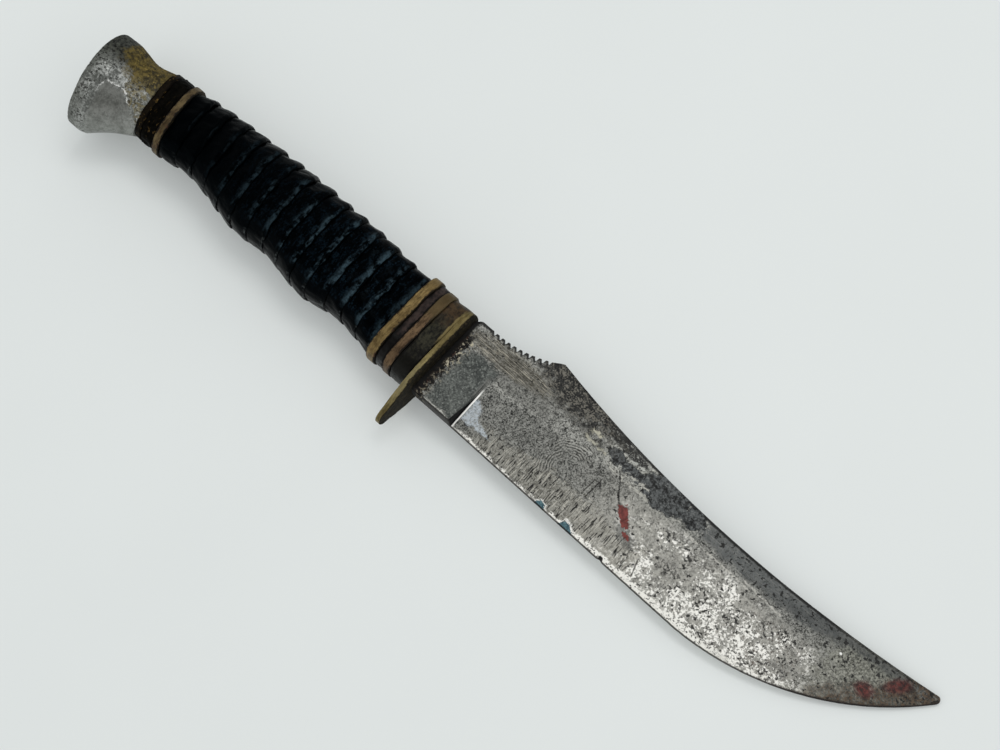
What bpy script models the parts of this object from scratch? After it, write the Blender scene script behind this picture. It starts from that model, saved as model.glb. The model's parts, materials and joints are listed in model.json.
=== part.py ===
"""Fixed-blade hunting knife with a stacked leather handle, built piece by piece on its tang.

Knife frame, in metres: X runs along the tang to the tip and is 0 on the guard's front face, Y points
to the spine and Z across the blade. An empty carries every piece and lays the knife on its side.
"""

import math
from collections import namedtuple

import bmesh
import bpy
from mathutils import Vector

Spacer = namedtuple("Spacer", "thickness top bottom half ease")

# Fits between pieces
SEAT_GAP = 0.0003
TANG_CLEARANCE = 0.0003
NUT_CLEARANCE = 0.0003

# Blade outline
BLADE_LENGTH = 0.1288
BLADE_THICKNESS = 0.0038
RICASSO_LENGTH = 0.0112
RICASSO_TOP = 0.0110
RICASSO_BOTTOM = -0.01125
SHOULDER_ROUND = 0.0012
RAMP_START = 0.0042
RAMP_LENGTH = 0.0150
RAMP_RISE = 0.0034
RAMP_SAG = 0.0010
HUMP_RUN = 0.0022
HUMP_RISE = 0.0014
HUMP_SAG = 0.0001
SPINE_SAG = 0.0047
TIP_HEIGHT = 0.0143
TIP_WIDTH = 0.0017
TIP_ROUND = 0.0005
BELLY_LENGTH = 0.0513
BELLY_BOTTOM = -0.0124
BELLY_SAG = 0.0061
EDGE_START = -0.0116

# Notches filed across the thumb ramp
NOTCH_COUNT = 10
NOTCH_LAND = 0.0007
NOTCH_DEPTH = 0.0009

# Flat grind
EDGE_THICKNESS = 0.0005
GRIND_HEIGHT = 0.0185
GRIND_HEIGHT_AT_PLUNGE = 0.0120
GRIND_RISE_LENGTH = 0.0280
PLUNGE_RUN = 0.0006

# Tang
TANG_THICKNESS = 0.0034
TANG_HEIGHT = 0.0100
TANG_END_HEIGHT = 0.0064
THREAD_DIAMETER = 0.0048
THREAD_ROOT = 0.0030

# Guard
GUARD_THICKNESS = 0.0020
GUARD_TOP = 0.0105
GUARD_CROWN = 0.0003
GUARD_HALF = 0.0065
GUARD_CORNER = 0.0030
GUARD_FLANK = 0.0085
QUILLON_REACH = 0.0216
QUILLON_HALF = 0.0031
QUILLON_SAG = 0.0006
QUILLON_THICKNESS = 0.0014

# Spacers: top and bottom are measured from the axis, half is half the width and ease rounds the edges
FRONT_DARK_WASHER = Spacer(thickness=0.0039, top=0.0111, bottom=0.0117, half=0.0060, ease=0.0003)
FRONT_COPPER_SPACER = Spacer(thickness=0.0020, top=0.0113, bottom=0.0118, half=0.0062, ease=0.0002)
FRONT_FIBRE_SPACER = Spacer(thickness=0.0019, top=0.0113, bottom=0.0116, half=0.0061, ease=0.0003)
FRONT_BRASS_SPACER = Spacer(thickness=0.0021, top=0.0117, bottom=0.0120, half=0.0066, ease=0.0004)
REAR_BRASS_SPACER = Spacer(thickness=0.0016, top=0.0093, bottom=0.0092, half=0.0064, ease=0.0003)
REAR_FIBRE_WASHER = Spacer(thickness=0.0036, top=0.0089, bottom=0.0090, half=0.0062, ease=0.0004)
REAR_DARK_BRASS_SPACER = Spacer(thickness=0.0013, top=0.0087, bottom=0.0089, half=0.0060, ease=0.0003)

# Squareness of the handle's sections: 2 is an ellipse, and more is boxier
FRONT_SQUARENESS = 3.6
MIDDLE_SQUARENESS = 2.5
REAR_SQUARENESS = 2.3

# Leather grip: sizes at shares of its length, front to rear
LEATHER_COUNT = 14
LEATHER_THICKNESS = 0.0047
LEATHER_GROOVE = 0.0004
LEATHER_ROUND = 0.0008
GRIP_TOP = ((0.0, 0.0106), (0.3, 0.0117), (0.62, 0.0114), (1.0, 0.0096))
GRIP_BOTTOM = (
    (0.0, 0.0114),
    (0.17, 0.0099),
    (0.31, 0.0117),
    (0.50, 0.0098),
    (0.63, 0.0107),
    (0.87, 0.0079),
    (1.0, 0.0092),
)
GRIP_HALF = ((0.0, 0.0064), (0.45, 0.0086), (1.0, 0.0064))
GRIP_SQUARENESS = ((0.0, FRONT_SQUARENESS), (0.45, MIDDLE_SQUARENESS), (1.0, REAR_SQUARENESS))
REAR_LEAN = math.radians(8.0)

# Pommel: sizes at shares of its length, front to butt, and its widest level
POMMEL_LENGTH = 0.0160
POMMEL_TOP = ((0.0, 0.0084), (0.35, 0.0070), (0.7, 0.0079), (1.0, 0.0077))
POMMEL_BOTTOM = ((0.0, 0.0094), (0.3, 0.0121), (0.5, 0.0143), (0.7, 0.0165), (1.0, 0.0169))
POMMEL_HALF = ((0.0, 0.0060), (0.3, 0.0068), (0.5, 0.0080), (0.7, 0.0098), (1.0, 0.0100))
POMMEL_LEVEL = ((0.0, 0.0), (0.7, -0.0040), (1.0, -0.0042))
POMMEL_SQUARENESS = 2.0
POMMEL_KEEL_SQUARENESS = 1.8
POMMEL_STEPS = 14
BUTT_LEAN = math.radians(9.7)
BUTT_ROUND = 0.0007

# Tang nut
NUT_WALL = 0.0023
NUT_HEIGHT = 0.0040
NUT_RECESS = 0.0004
NUT_SLOT_WIDTH = 0.0014
NUT_SLOT_DEPTH = 0.0012

# Where the knife balances, along its axis from the guard's face
BALANCE = -0.0055

# Fineness of curves, and how far a cutter runs past what it cuts
SECTION_POINTS = 40
ARC_STEPS = 10
LONG_ARC_STEPS = 20
ROUND_SIDES = 32
CUT_MARGIN = 0.0040
SHARP_ANGLE = math.radians(35)

# Colours as linear red, green, blue, with roughness and metallic
FINISHES = {
    "worn_steel": ((0.30, 0.30, 0.29), 0.45, 1.0),
    "tarnished_brass": ((0.42, 0.33, 0.16), 0.45, 1.0),
    "copper": ((0.42, 0.26, 0.17), 0.45, 1.0),
    "dark_brass": ((0.10, 0.08, 0.05), 0.55, 0.8),
    "brown_fibre": ((0.05, 0.035, 0.035), 0.6, 0.0),
    "dark_fibre": ((0.05, 0.045, 0.03), 0.55, 0.0),
    "black_leather": ((0.008, 0.009, 0.012), 0.4, 0.0),
    "cast_aluminium": ((0.55, 0.55, 0.53), 0.45, 1.0),
    "nut_steel": ((0.35, 0.34, 0.33), 0.4, 1.0),
}

# How far a quarter circle of radius 1 stands off its chord
QUARTER_SAG = 1 - math.cos(math.pi / 4)

BLADE_HALF = BLADE_THICKNESS / 2
TANG_HALF = TANG_THICKNESS / 2
THREAD_RADIUS = THREAD_DIAMETER / 2
NUT_RADIUS = THREAD_RADIUS + NUT_WALL


def clear_scene():
    for thing in list(bpy.data.objects):
        bpy.data.objects.remove(thing, do_unlink=True)


def make_finish(name):
    colour, roughness, metallic = FINISHES[name]
    material = bpy.data.materials.new(name)
    material.use_nodes = True
    shader = material.node_tree.nodes["Principled BSDF"]
    shader.inputs["Base Color"].default_value = (*colour, 1.0)
    shader.inputs["Roughness"].default_value = roughness
    shader.inputs["Metallic"].default_value = metallic
    return material


def arc(start, end, sag, steps=ARC_STEPS):
    """Points after start, up to end, on the arc that stands sag to the right of the straight line."""
    start = Vector(start)
    end = Vector(end)
    chord = end - start
    along = chord.normalized()
    right = Vector((along.y, -along.x))
    half = chord.length / 2
    radius = (half * half + sag * sag) / (2 * sag)
    reach = 2 * math.atan2(sag, half)
    centre = start + along * half + right * (sag - radius)
    points = []
    for step in range(1, steps + 1):
        angle = reach * (2 * step / steps - 1)
        points.append(centre + along * (radius * math.sin(angle)) + right * (radius * math.cos(angle)))
    return points


def smooth_size(stations, place):
    """Size at a place on the smooth curve through (place, size) stations."""
    places = [station[0] for station in stations]
    sizes = [station[1] for station in stations]
    last = len(stations) - 1
    slopes = []
    for index in range(last + 1):
        before = max(index - 1, 0)
        after = min(index + 1, last)
        slopes.append((sizes[after] - sizes[before]) / (places[after] - places[before]))
    place = min(max(place, places[0]), places[last])
    index = max(i for i in range(last) if places[i] <= place)
    width = places[index + 1] - places[index]
    t = (place - places[index]) / width
    return (
        sizes[index] * (1 + 2 * t) * (1 - t) ** 2
        + sizes[index + 1] * t * t * (3 - 2 * t)
        + slopes[index] * width * t * (1 - t) ** 2
        - slopes[index + 1] * width * t * t * (1 - t)
    )


def oval(top, bottom, half, squareness, level=None, keel_squareness=None):
    """Rounded section as (y, z) pairs, widest at a level between its top and its bottom."""
    if level is None:
        level = (top - bottom) / 2
    points = []
    for step in range(SECTION_POINTS):
        angle = 2 * math.pi * step / SECTION_POINTS
        upper = math.cos(angle) >= 0
        power = 2 / (squareness if upper else keel_squareness or squareness)
        reach = top - level if upper else level + bottom
        y = math.copysign(abs(math.cos(angle)) ** power, math.cos(angle))
        z = math.copysign(abs(math.sin(angle)) ** power, math.sin(angle))
        points.append((level + reach * y, half * z))
    return points


def finish_mesh(mesh, name, carrier, place, finish):
    """Object at a place on the knife's axis, carried by the empty."""
    mesh.shade_smooth()
    mesh.set_sharp_from_angle(angle=SHARP_ANGLE)
    if finish:
        mesh.materials.append(finish)
    piece = bpy.data.objects.new(name, mesh)
    bpy.context.scene.collection.objects.link(piece)
    piece.parent = carrier
    piece.location = (place, 0, 0)
    return piece


def mesh_from(bm, name):
    bmesh.ops.recalc_face_normals(bm, faces=bm.faces)
    mesh = bpy.data.meshes.new(name)
    bm.to_mesh(mesh)
    bm.free()
    return mesh


def loft(name, loops):
    """Closed mesh through loops of points, each with as many points as the last."""
    bm = bmesh.new()
    rings = [[bm.verts.new(point) for point in loop] for loop in loops]
    for front, rear in zip(rings, rings[1:]):
        for index in range(len(front)):
            after = (index + 1) % len(front)
            bm.faces.new((front[index], front[after], rear[after], rear[index]))
    bm.faces.new(rings[0])
    bm.faces.new(rings[-1])
    return mesh_from(bm, name)


def extrude_outline(name, outline, bottom, top):
    """Prism over an outline of (x, y) points."""
    bm = bmesh.new()
    base = bm.faces.new([bm.verts.new((point[0], point[1], bottom)) for point in outline])
    grown = bmesh.ops.extrude_face_region(bm, geom=[base])["geom"]
    raised = [item for item in grown if isinstance(item, bmesh.types.BMVert)]
    bmesh.ops.translate(bm, verts=raised, vec=(0, 0, top - bottom))
    return mesh_from(bm, name)


def turn(name, profile):
    """Solid turned about X from (x, radius) pairs, front to rear, closed at both ends."""
    loops = []
    for x, radius in profile:
        loop = []
        for side in range(ROUND_SIDES):
            angle = 2 * math.pi * side / ROUND_SIDES
            loop.append((x, radius * math.cos(angle), radius * math.sin(angle)))
        loops.append(loop)
    return loft(name, loops)


def cut(piece, cutter, operation="DIFFERENCE"):
    modifier = piece.modifiers.new(cutter.name, "BOOLEAN")
    modifier.operation = operation
    modifier.solver = "EXACT"
    modifier.object = cutter


def hide_helper(helper):
    helper.hide_render = True
    helper.display_type = "WIRE"
    return helper


FRONT_SPACERS = {
    "front_dark_washer": FRONT_DARK_WASHER,
    "front_copper_spacer": FRONT_COPPER_SPACER,
    "front_fibre_spacer": FRONT_FIBRE_SPACER,
    "front_brass_spacer": FRONT_BRASS_SPACER,
}
LEATHER_WASHERS = [f"leather_washer_{number:02d}" for number in range(1, LEATHER_COUNT + 1)]
REAR_SPACERS = {
    "rear_brass_spacer": REAR_BRASS_SPACER,
    "rear_fibre_washer": REAR_FIBRE_WASHER,
    "rear_dark_brass_spacer": REAR_DARK_BRASS_SPACER,
}
SPACER_FINISHES = {
    "front_dark_washer": "dark_fibre",
    "front_copper_spacer": "copper",
    "front_fibre_spacer": "brown_fibre",
    "front_brass_spacer": "tarnished_brass",
    "rear_brass_spacer": "tarnished_brass",
    "rear_fibre_washer": "brown_fibre",
    "rear_dark_brass_spacer": "dark_brass",
}


def stack_places():
    """Front face of every piece behind the guard, by name, and of the pommel last."""
    thicknesses = {name: spacer.thickness for name, spacer in FRONT_SPACERS.items()}
    thicknesses.update({name: LEATHER_THICKNESS for name in LEATHER_WASHERS})
    thicknesses.update({name: spacer.thickness for name, spacer in REAR_SPACERS.items()})
    thicknesses["pommel"] = POMMEL_LENGTH
    places = {}
    x = -GUARD_THICKNESS - SEAT_GAP
    for name, thickness in thicknesses.items():
        places[name] = x
        x -= thickness + SEAT_GAP
    return places


STACK = stack_places()
GRIP_FRONT = STACK[LEATHER_WASHERS[0]]
GRIP_REAR = STACK["rear_brass_spacer"] + SEAT_GAP
POMMEL_FRONT = STACK["pommel"]
BUTT = POMMEL_FRONT - POMMEL_LENGTH
NUT_REAR = BUTT + math.tan(BUTT_LEAN) * NUT_RADIUS + NUT_RECESS
NUT_SEAT = NUT_REAR + NUT_HEIGHT
THREAD_END = NUT_REAR + NUT_SLOT_DEPTH
TANG_END = STACK["rear_fibre_washer"] - REAR_FIBRE_WASHER.thickness / 2


def grip_share(x):
    return min(max((GRIP_FRONT - x) / (GRIP_FRONT - GRIP_REAR), 0.0), 1.0)


def lean(x):
    """Slope of the cross-planes: upright at the grip's front, leaning more and more towards the butt."""
    past_grip = min(max((POMMEL_FRONT - x) / POMMEL_LENGTH, 0.0), 1.0)
    return math.tan(REAR_LEAN * grip_share(x) + (BUTT_LEAN - REAR_LEAN) * past_grip)


def leaning_loop(x, section, origin):
    """Section on its cross-plane at x on the axis, measured from the piece's own origin."""
    return [(x - origin - lean(x) * y, y, z) for y, z in section]


def ramp_points():
    """Thumb ramp from the hump back to the ricasso, with its notches."""
    start = Vector((RAMP_START + RAMP_LENGTH, RICASSO_TOP + RAMP_RISE))
    end = Vector((RAMP_START, RICASSO_TOP))
    chord = end - start
    pitch = 1 / NOTCH_COUNT
    notch_width = chord.length * pitch - NOTCH_LAND
    inward = Vector((-chord.y, chord.x)).normalized()
    points = []
    for notch in range(NOTCH_COUNT):
        share = (notch + 0.5) * pitch
        middle = start + chord * share
        middle += inward * (4 * RAMP_SAG * share * (1 - share))
        turn_share = 4 * RAMP_SAG * (1 - 2 * share) / chord.length
        along = (chord.normalized() + inward * turn_share).normalized()
        down = Vector((-along.y, along.x))
        for step in range(ARC_STEPS // 2 + 1):
            angle = math.pi * step / (ARC_STEPS // 2)
            sideways = -along * (notch_width / 2 * math.cos(angle))
            points.append(middle + sideways + down * (NOTCH_DEPTH * math.sin(angle)))
    return points


def edge_points():
    """Cutting edge from the plunge, along the straight and up the belly to the tip."""
    straight = Vector((RICASSO_LENGTH + PLUNGE_RUN, EDGE_START))
    belly = Vector((BLADE_LENGTH - BELLY_LENGTH, BELLY_BOTTOM))
    tip = Vector((BLADE_LENGTH, TIP_HEIGHT - TIP_WIDTH))
    return [straight, belly] + arc(belly, tip, BELLY_SAG, LONG_ARC_STEPS)


def tang_outline(rear, front, clearance=0.0):
    """The tang's tapering outline between two places on the axis, wider all round by a clearance."""
    halves = []
    for x in (rear, front):
        share = (SEAT_GAP - x) / (SEAT_GAP - TANG_END)
        height = TANG_HEIGHT + (TANG_END_HEIGHT - TANG_HEIGHT) * share
        halves.append(height / 2 + clearance)
    return ((rear, -halves[0]), (front, -halves[1]), (front, halves[1]), (rear, halves[0]))


def blade_outline():
    shoulder = SEAT_GAP
    ramp_top = Vector((RAMP_START + RAMP_LENGTH, RICASSO_TOP + RAMP_RISE))
    hump = ramp_top + Vector((HUMP_RUN, HUMP_RISE))
    edge = edge_points()
    tip_top = Vector((BLADE_LENGTH - TIP_ROUND, TIP_HEIGHT))
    outline = [Vector((shoulder, RICASSO_BOTTOM)), Vector((RICASSO_LENGTH, RICASSO_BOTTOM))]
    outline += edge
    outline += arc(edge[-1], tip_top, TIP_ROUND, ARC_STEPS // 2)
    outline += arc(tip_top, hump, -SPINE_SAG, LONG_ARC_STEPS)
    outline += arc(hump, ramp_top, HUMP_SAG, ARC_STEPS // 2)
    outline += ramp_points()
    corner = Vector((shoulder + SHOULDER_ROUND, RICASSO_TOP))
    outline.append(corner)
    rounding = SHOULDER_ROUND * QUARTER_SAG
    outline += arc(corner, (shoulder, RICASSO_TOP - SHOULDER_ROUND), rounding, ARC_STEPS // 2)
    return outline


def grind_cutter(name, side, carrier):
    """Wedge that grinds one side flat, from the plunge to past the tip."""
    edge = edge_points()
    edge.insert(0, Vector((RICASSO_LENGTH, RICASSO_BOTTOM)))
    edge.append(edge[-1] + Vector((CUT_MARGIN, 0)))
    loops = []
    for index, point in enumerate(edge):
        share = min(max((point.x - RICASSO_LENGTH) / GRIND_RISE_LENGTH, 0.0), 1.0)
        height = GRIND_HEIGHT_AT_PLUNGE + (GRIND_HEIGHT - GRIND_HEIGHT_AT_PLUNGE) * share
        slope = (BLADE_HALF - EDGE_THICKNESS / 2) / height
        depth = EDGE_THICKNESS / 2
        if index == 0:
            slope = 0.0
            depth = BLADE_HALF + SEAT_GAP
        low = point.y - CUT_MARGIN
        high = point.y + height + CUT_MARGIN
        roof = BLADE_HALF + slope * CUT_MARGIN + CUT_MARGIN
        loops.append(
            [
                (point.x, low, side * (depth - slope * CUT_MARGIN)),
                (point.x, high, side * (depth + slope * (height + CUT_MARGIN))),
                (point.x, high, side * roof),
                (point.x, low, side * roof),
            ]
        )
    return hide_helper(finish_mesh(loft(name, loops), name, carrier, 0, None))


def make_blade(carrier, finish):
    mesh = extrude_outline("blade", blade_outline(), -BLADE_HALF, BLADE_HALF)
    blade = finish_mesh(mesh, "blade", carrier, 0, finish)
    tang = extrude_outline("tang", tang_outline(TANG_END, SEAT_GAP + CUT_MARGIN), -TANG_HALF, TANG_HALF)
    cut(blade, hide_helper(finish_mesh(tang, "tang", carrier, 0, None)), "UNION")
    rod = turn("threaded_rod", ((TANG_END + THREAD_ROOT, THREAD_RADIUS), (THREAD_END, THREAD_RADIUS)))
    cut(blade, hide_helper(finish_mesh(rod, "threaded_rod", carrier, 0, None)), "UNION")
    cut(blade, grind_cutter("upper_grind", 1, carrier))
    cut(blade, grind_cutter("lower_grind", -1, carrier))


def make_tang_slot(carrier):
    """Cutter with the tang's taper and clearance."""
    outline = tang_outline(TANG_END - TANG_CLEARANCE, SEAT_GAP + CUT_MARGIN, TANG_CLEARANCE)
    half = TANG_HALF + TANG_CLEARANCE
    mesh = extrude_outline("tang_slot", outline, -half, half)
    return hide_helper(finish_mesh(mesh, "tang_slot", carrier, 0, None))


def make_rod_hole(carrier):
    """Cutter for the rod's clearance hole and the nut's seat in the butt."""
    hole = THREAD_RADIUS + TANG_CLEARANCE
    recess = NUT_RADIUS + NUT_CLEARANCE
    seat = NUT_SEAT + SEAT_GAP
    ahead = TANG_END + THREAD_ROOT + CUT_MARGIN
    profile = ((ahead, hole), (seat, hole), (seat, recess), (BUTT - CUT_MARGIN, recess))
    return hide_helper(finish_mesh(turn("rod_hole", profile), "rod_hole", carrier, 0, None))


def make_guard(carrier, finish, tang_slot):
    """Plate with a boxy body and one quillon, its rear face thinning towards the quillon."""
    root = QUILLON_HALF - QUILLON_REACH
    shoulder = GUARD_TOP - GUARD_CORNER
    crown = GUARD_HALF - GUARD_CORNER
    rounding = GUARD_CORNER * QUARTER_SAG
    outline = arc((root, QUILLON_HALF), (-GUARD_FLANK, GUARD_HALF), -QUILLON_SAG)
    outline.append(Vector((shoulder, GUARD_HALF)))
    outline += arc((shoulder, GUARD_HALF), (GUARD_TOP, crown), -rounding)
    outline += arc((GUARD_TOP, crown), (GUARD_TOP, -crown), -GUARD_CROWN)
    outline += arc((GUARD_TOP, -crown), (shoulder, -GUARD_HALF), -rounding)
    outline.append(Vector((-GUARD_FLANK, -GUARD_HALF)))
    outline += arc((-GUARD_FLANK, -GUARD_HALF), (root, -QUILLON_HALF), -QUILLON_SAG)
    outline += arc((root, -QUILLON_HALF), (root, QUILLON_HALF), -QUILLON_HALF)
    front = []
    rear = []
    for y, z in outline:
        share = min(max(-y / QUILLON_REACH, 0.0), 1.0)
        thickness = GUARD_THICKNESS + (QUILLON_THICKNESS - GUARD_THICKNESS) * share
        front.append((0, y, z))
        rear.append((-thickness, y, z))
    guard = finish_mesh(loft("guard", (front, rear)), "guard", carrier, 0, finish)
    cut(guard, tang_slot)


def make_spacer(name, spacer, squareness, carrier, finish, cutters):
    """Flat spacer or washer with eased edges, holed for the tang."""
    front = STACK[name]
    eased = spacer.thickness - spacer.ease
    loops = []
    stops = ((0, spacer.ease), (spacer.ease, 0), (eased, 0), (spacer.thickness, spacer.ease))
    for distance, inset in stops:
        section = oval(spacer.top - inset, spacer.bottom - inset, spacer.half - inset, squareness)
        loops.append(leaning_loop(front - distance, section, front))
    piece = finish_mesh(loft(name, loops), name, carrier, front, finish)
    for cutter in cutters:
        cut(piece, cutter)


def make_leather_washer(name, carrier, finish, tang_slot):
    """Washer whose outside follows the grip's profile and rounds into the grooves beside it."""
    front = STACK[name]
    stops = (
        (0, LEATHER_GROOVE),
        (LEATHER_ROUND, 0),
        (LEATHER_THICKNESS - LEATHER_ROUND, 0),
        (LEATHER_THICKNESS, LEATHER_GROOVE),
    )
    loops = []
    for distance, inset in stops:
        x = front - distance
        share = grip_share(x)
        top = smooth_size(GRIP_TOP, share) - inset
        bottom = smooth_size(GRIP_BOTTOM, share) - inset
        half = smooth_size(GRIP_HALF, share) - inset
        section = oval(top, bottom, half, smooth_size(GRIP_SQUARENESS, share))
        loops.append(leaning_loop(x, section, front))
    washer = finish_mesh(loft(name, loops), name, carrier, front, finish)
    cut(washer, tang_slot)


def make_pommel(carrier, finish, rod_hole):
    """Trumpet from the narrow neck to an oval rim with a flat butt."""
    straight = POMMEL_LENGTH - BUTT_ROUND
    stops = [(straight * step / POMMEL_STEPS, 0.0) for step in range(POMMEL_STEPS + 1)]
    for step in range(1, ARC_STEPS // 2 + 1):
        angle = math.pi / 2 * step / (ARC_STEPS // 2)
        stops.append((straight + BUTT_ROUND * math.sin(angle), BUTT_ROUND * (1 - math.cos(angle))))
    loops = []
    for distance, inset in stops:
        share = distance / POMMEL_LENGTH
        top = smooth_size(POMMEL_TOP, share) - inset
        bottom = smooth_size(POMMEL_BOTTOM, share) - inset
        half = smooth_size(POMMEL_HALF, share) - inset
        level = smooth_size(POMMEL_LEVEL, share)
        section = oval(top, bottom, half, POMMEL_SQUARENESS, level, POMMEL_KEEL_SQUARENESS)
        loops.append(leaning_loop(POMMEL_FRONT - distance, section, POMMEL_FRONT))
    pommel = finish_mesh(loft("pommel", loops), "pommel", carrier, POMMEL_FRONT, finish)
    cut(pommel, rod_hole)


def make_tang_nut(carrier, finish):
    """Round nut with a screwdriver slot, seated in the butt's recess."""
    hole = THREAD_RADIUS + TANG_CLEARANCE
    profile = ((0, NUT_RADIUS), (-NUT_HEIGHT, NUT_RADIUS))
    nut = finish_mesh(turn("tang_nut", profile), "tang_nut", carrier, NUT_SEAT, finish)
    bore = turn("nut_bore", ((CUT_MARGIN, hole), (-NUT_HEIGHT - CUT_MARGIN, hole)))
    cut(nut, hide_helper(finish_mesh(bore, "nut_bore", carrier, NUT_SEAT, None)))
    half_slot = NUT_SLOT_WIDTH / 2
    reach = NUT_RADIUS + CUT_MARGIN
    floor = -NUT_HEIGHT + NUT_SLOT_DEPTH
    back = -NUT_HEIGHT - CUT_MARGIN
    outline = ((back, -reach), (floor, -reach), (floor, reach), (back, reach))
    slot = extrude_outline("nut_slot", outline, -half_slot, half_slot)
    cut(nut, hide_helper(finish_mesh(slot, "nut_slot", carrier, NUT_SEAT, None)))


def knife_points():
    """Corners of every finished piece in the knife's frame."""
    graph = bpy.context.evaluated_depsgraph_get()
    points = []
    for piece in bpy.context.scene.objects:
        if piece.type == "MESH" and not piece.hide_render:
            mesh = piece.evaluated_get(graph).to_mesh()
            points += [piece.location + vert.co for vert in mesh.vertices]
    return points


def lay_on_side(carrier):
    """Turn and lift the empty so that the knife rests on its side with its box centred over the origin."""
    points = knife_points()
    behind = [point for point in points if point.x <= BALANCE]
    ahead = [point for point in points if point.x > BALANCE]
    pitch = 0.0
    for _ in range(len(points)):
        heel = min(behind, key=lambda point: point.z - math.tan(pitch) * point.x)
        toe = min(ahead, key=lambda point: point.z - math.tan(pitch) * point.x)
        better = math.atan2(toe.z - heel.z, toe.x - heel.x)
        if better == pitch:
            break
        pitch = better
    carrier.rotation_euler = (0, pitch, 0)
    turn_matrix = carrier.rotation_euler.to_matrix()
    turned = [turn_matrix @ point for point in points]
    low = Vector([min(point[axis] for point in turned) for axis in range(3)])
    high = Vector([max(point[axis] for point in turned) for axis in range(3)])
    carrier.location = (-(low.x + high.x) / 2, -(low.y + high.y) / 2, -low.z)


def main():
    clear_scene()
    finishes = {name: make_finish(name) for name in FINISHES}
    carrier = bpy.data.objects.new("knife", None)
    bpy.context.scene.collection.objects.link(carrier)
    tang_slot = make_tang_slot(carrier)
    rod_hole = make_rod_hole(carrier)
    make_blade(carrier, finishes["worn_steel"])
    make_guard(carrier, finishes["tarnished_brass"], tang_slot)
    for name, spacer in FRONT_SPACERS.items():
        finish = finishes[SPACER_FINISHES[name]]
        make_spacer(name, spacer, FRONT_SQUARENESS, carrier, finish, (tang_slot,))
    for name in LEATHER_WASHERS:
        make_leather_washer(name, carrier, finishes["black_leather"], tang_slot)
    for name, spacer in REAR_SPACERS.items():
        finish = finishes[SPACER_FINISHES[name]]
        cutters = (rod_hole,) if name == "rear_dark_brass_spacer" else (tang_slot, rod_hole)
        make_spacer(name, spacer, REAR_SQUARENESS, carrier, finish, cutters)
    make_pommel(carrier, finishes["cast_aluminium"], rod_hole)
    make_tang_nut(carrier, finishes["nut_steel"])
    lay_on_side(carrier)


main()
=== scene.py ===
import json
import math

import bmesh
import bpy
import numpy as np
from mathutils import Matrix, Vector, noise
from mathutils.bvhtree import BVHTree


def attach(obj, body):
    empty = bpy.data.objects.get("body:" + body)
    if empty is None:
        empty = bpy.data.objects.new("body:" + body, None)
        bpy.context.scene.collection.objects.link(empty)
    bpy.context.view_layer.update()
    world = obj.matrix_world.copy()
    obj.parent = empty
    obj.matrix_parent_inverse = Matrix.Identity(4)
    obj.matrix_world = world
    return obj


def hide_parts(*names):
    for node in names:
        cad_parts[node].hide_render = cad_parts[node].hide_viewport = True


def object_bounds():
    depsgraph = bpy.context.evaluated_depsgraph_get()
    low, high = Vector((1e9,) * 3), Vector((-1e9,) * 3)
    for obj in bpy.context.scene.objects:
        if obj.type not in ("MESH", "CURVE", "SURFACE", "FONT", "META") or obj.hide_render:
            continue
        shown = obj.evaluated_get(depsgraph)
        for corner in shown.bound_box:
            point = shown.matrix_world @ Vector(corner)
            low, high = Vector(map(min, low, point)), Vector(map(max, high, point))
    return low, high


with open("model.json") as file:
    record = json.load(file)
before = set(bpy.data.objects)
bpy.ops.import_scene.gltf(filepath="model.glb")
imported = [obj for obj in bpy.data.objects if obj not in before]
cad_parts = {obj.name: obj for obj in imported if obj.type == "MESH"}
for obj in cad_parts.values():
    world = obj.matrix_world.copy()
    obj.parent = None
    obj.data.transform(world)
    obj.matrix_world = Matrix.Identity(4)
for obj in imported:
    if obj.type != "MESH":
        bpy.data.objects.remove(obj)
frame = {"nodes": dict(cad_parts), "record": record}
cad_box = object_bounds()

# Units
MM = 0.001

# Knife's own axes: X from the guard's front to the tip, Y to the spine, Z across the blade
MOUNT_FROM_GUARD = 8.0 * MM     # how far in front of the guard the ricasso's mounts lie

# Camera, in the knife's axes
LENS_MM, SENSOR_MM = 72.0, 36.0
CAMERA_AZIMUTH, CAMERA_ELEVATION = math.radians(42.3416), math.radians(72.0)
CAMERA_DISTANCE = 443.12 * MM
CAMERA_TARGET = Vector((11.9, 4.68, 0.0)) * MM

# Mesh fineness
METAL_VOXEL, POMMEL_VOXEL = 0.15 * MM, 0.20 * MM
GRIP_POINTS = 240
GRIP_ANGLES = np.linspace(0, 2 * math.pi, GRIP_POINTS, endpoint=False)
LEATHER_SHARES = np.sin(np.linspace(-math.pi / 2, math.pi / 2, 25)) / 2 + 0.5
SPACER_SHARES = np.sin(np.linspace(-math.pi / 2, math.pi / 2, 17)) / 2 + 0.5
SEAM_CLOSE, END_CLOSE, CROWN_AT = 0.145, 0.36, 0.80      # how far rings reach across the gaps of the CAD
SEAM_WANDER, SPACER_WANDER = 0.34, 0.08
BACK_FALL, FRONT_FALL = 0.80, 0.34
SMOOTH_PASSES = 3
SHARP_ANGLE = math.radians(38)

# Blade wear
BLADE_ROWS, BEVEL_ROWS, RIM_STEPS = 44, 6, 4
BEVEL_WIDTH, BEVEL_EDGE, BEVEL_SLOPE = 1.1, 0.10, 0.25
SPINE_ROUND, NOTCH_ROUND, RICASSO_ROUND, EDGE_ROUND = 0.30, 0.12, 0.22, 0.06
SHOULDER, TANG_STEP = 0.30, 0.5


# Places and meshes

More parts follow.
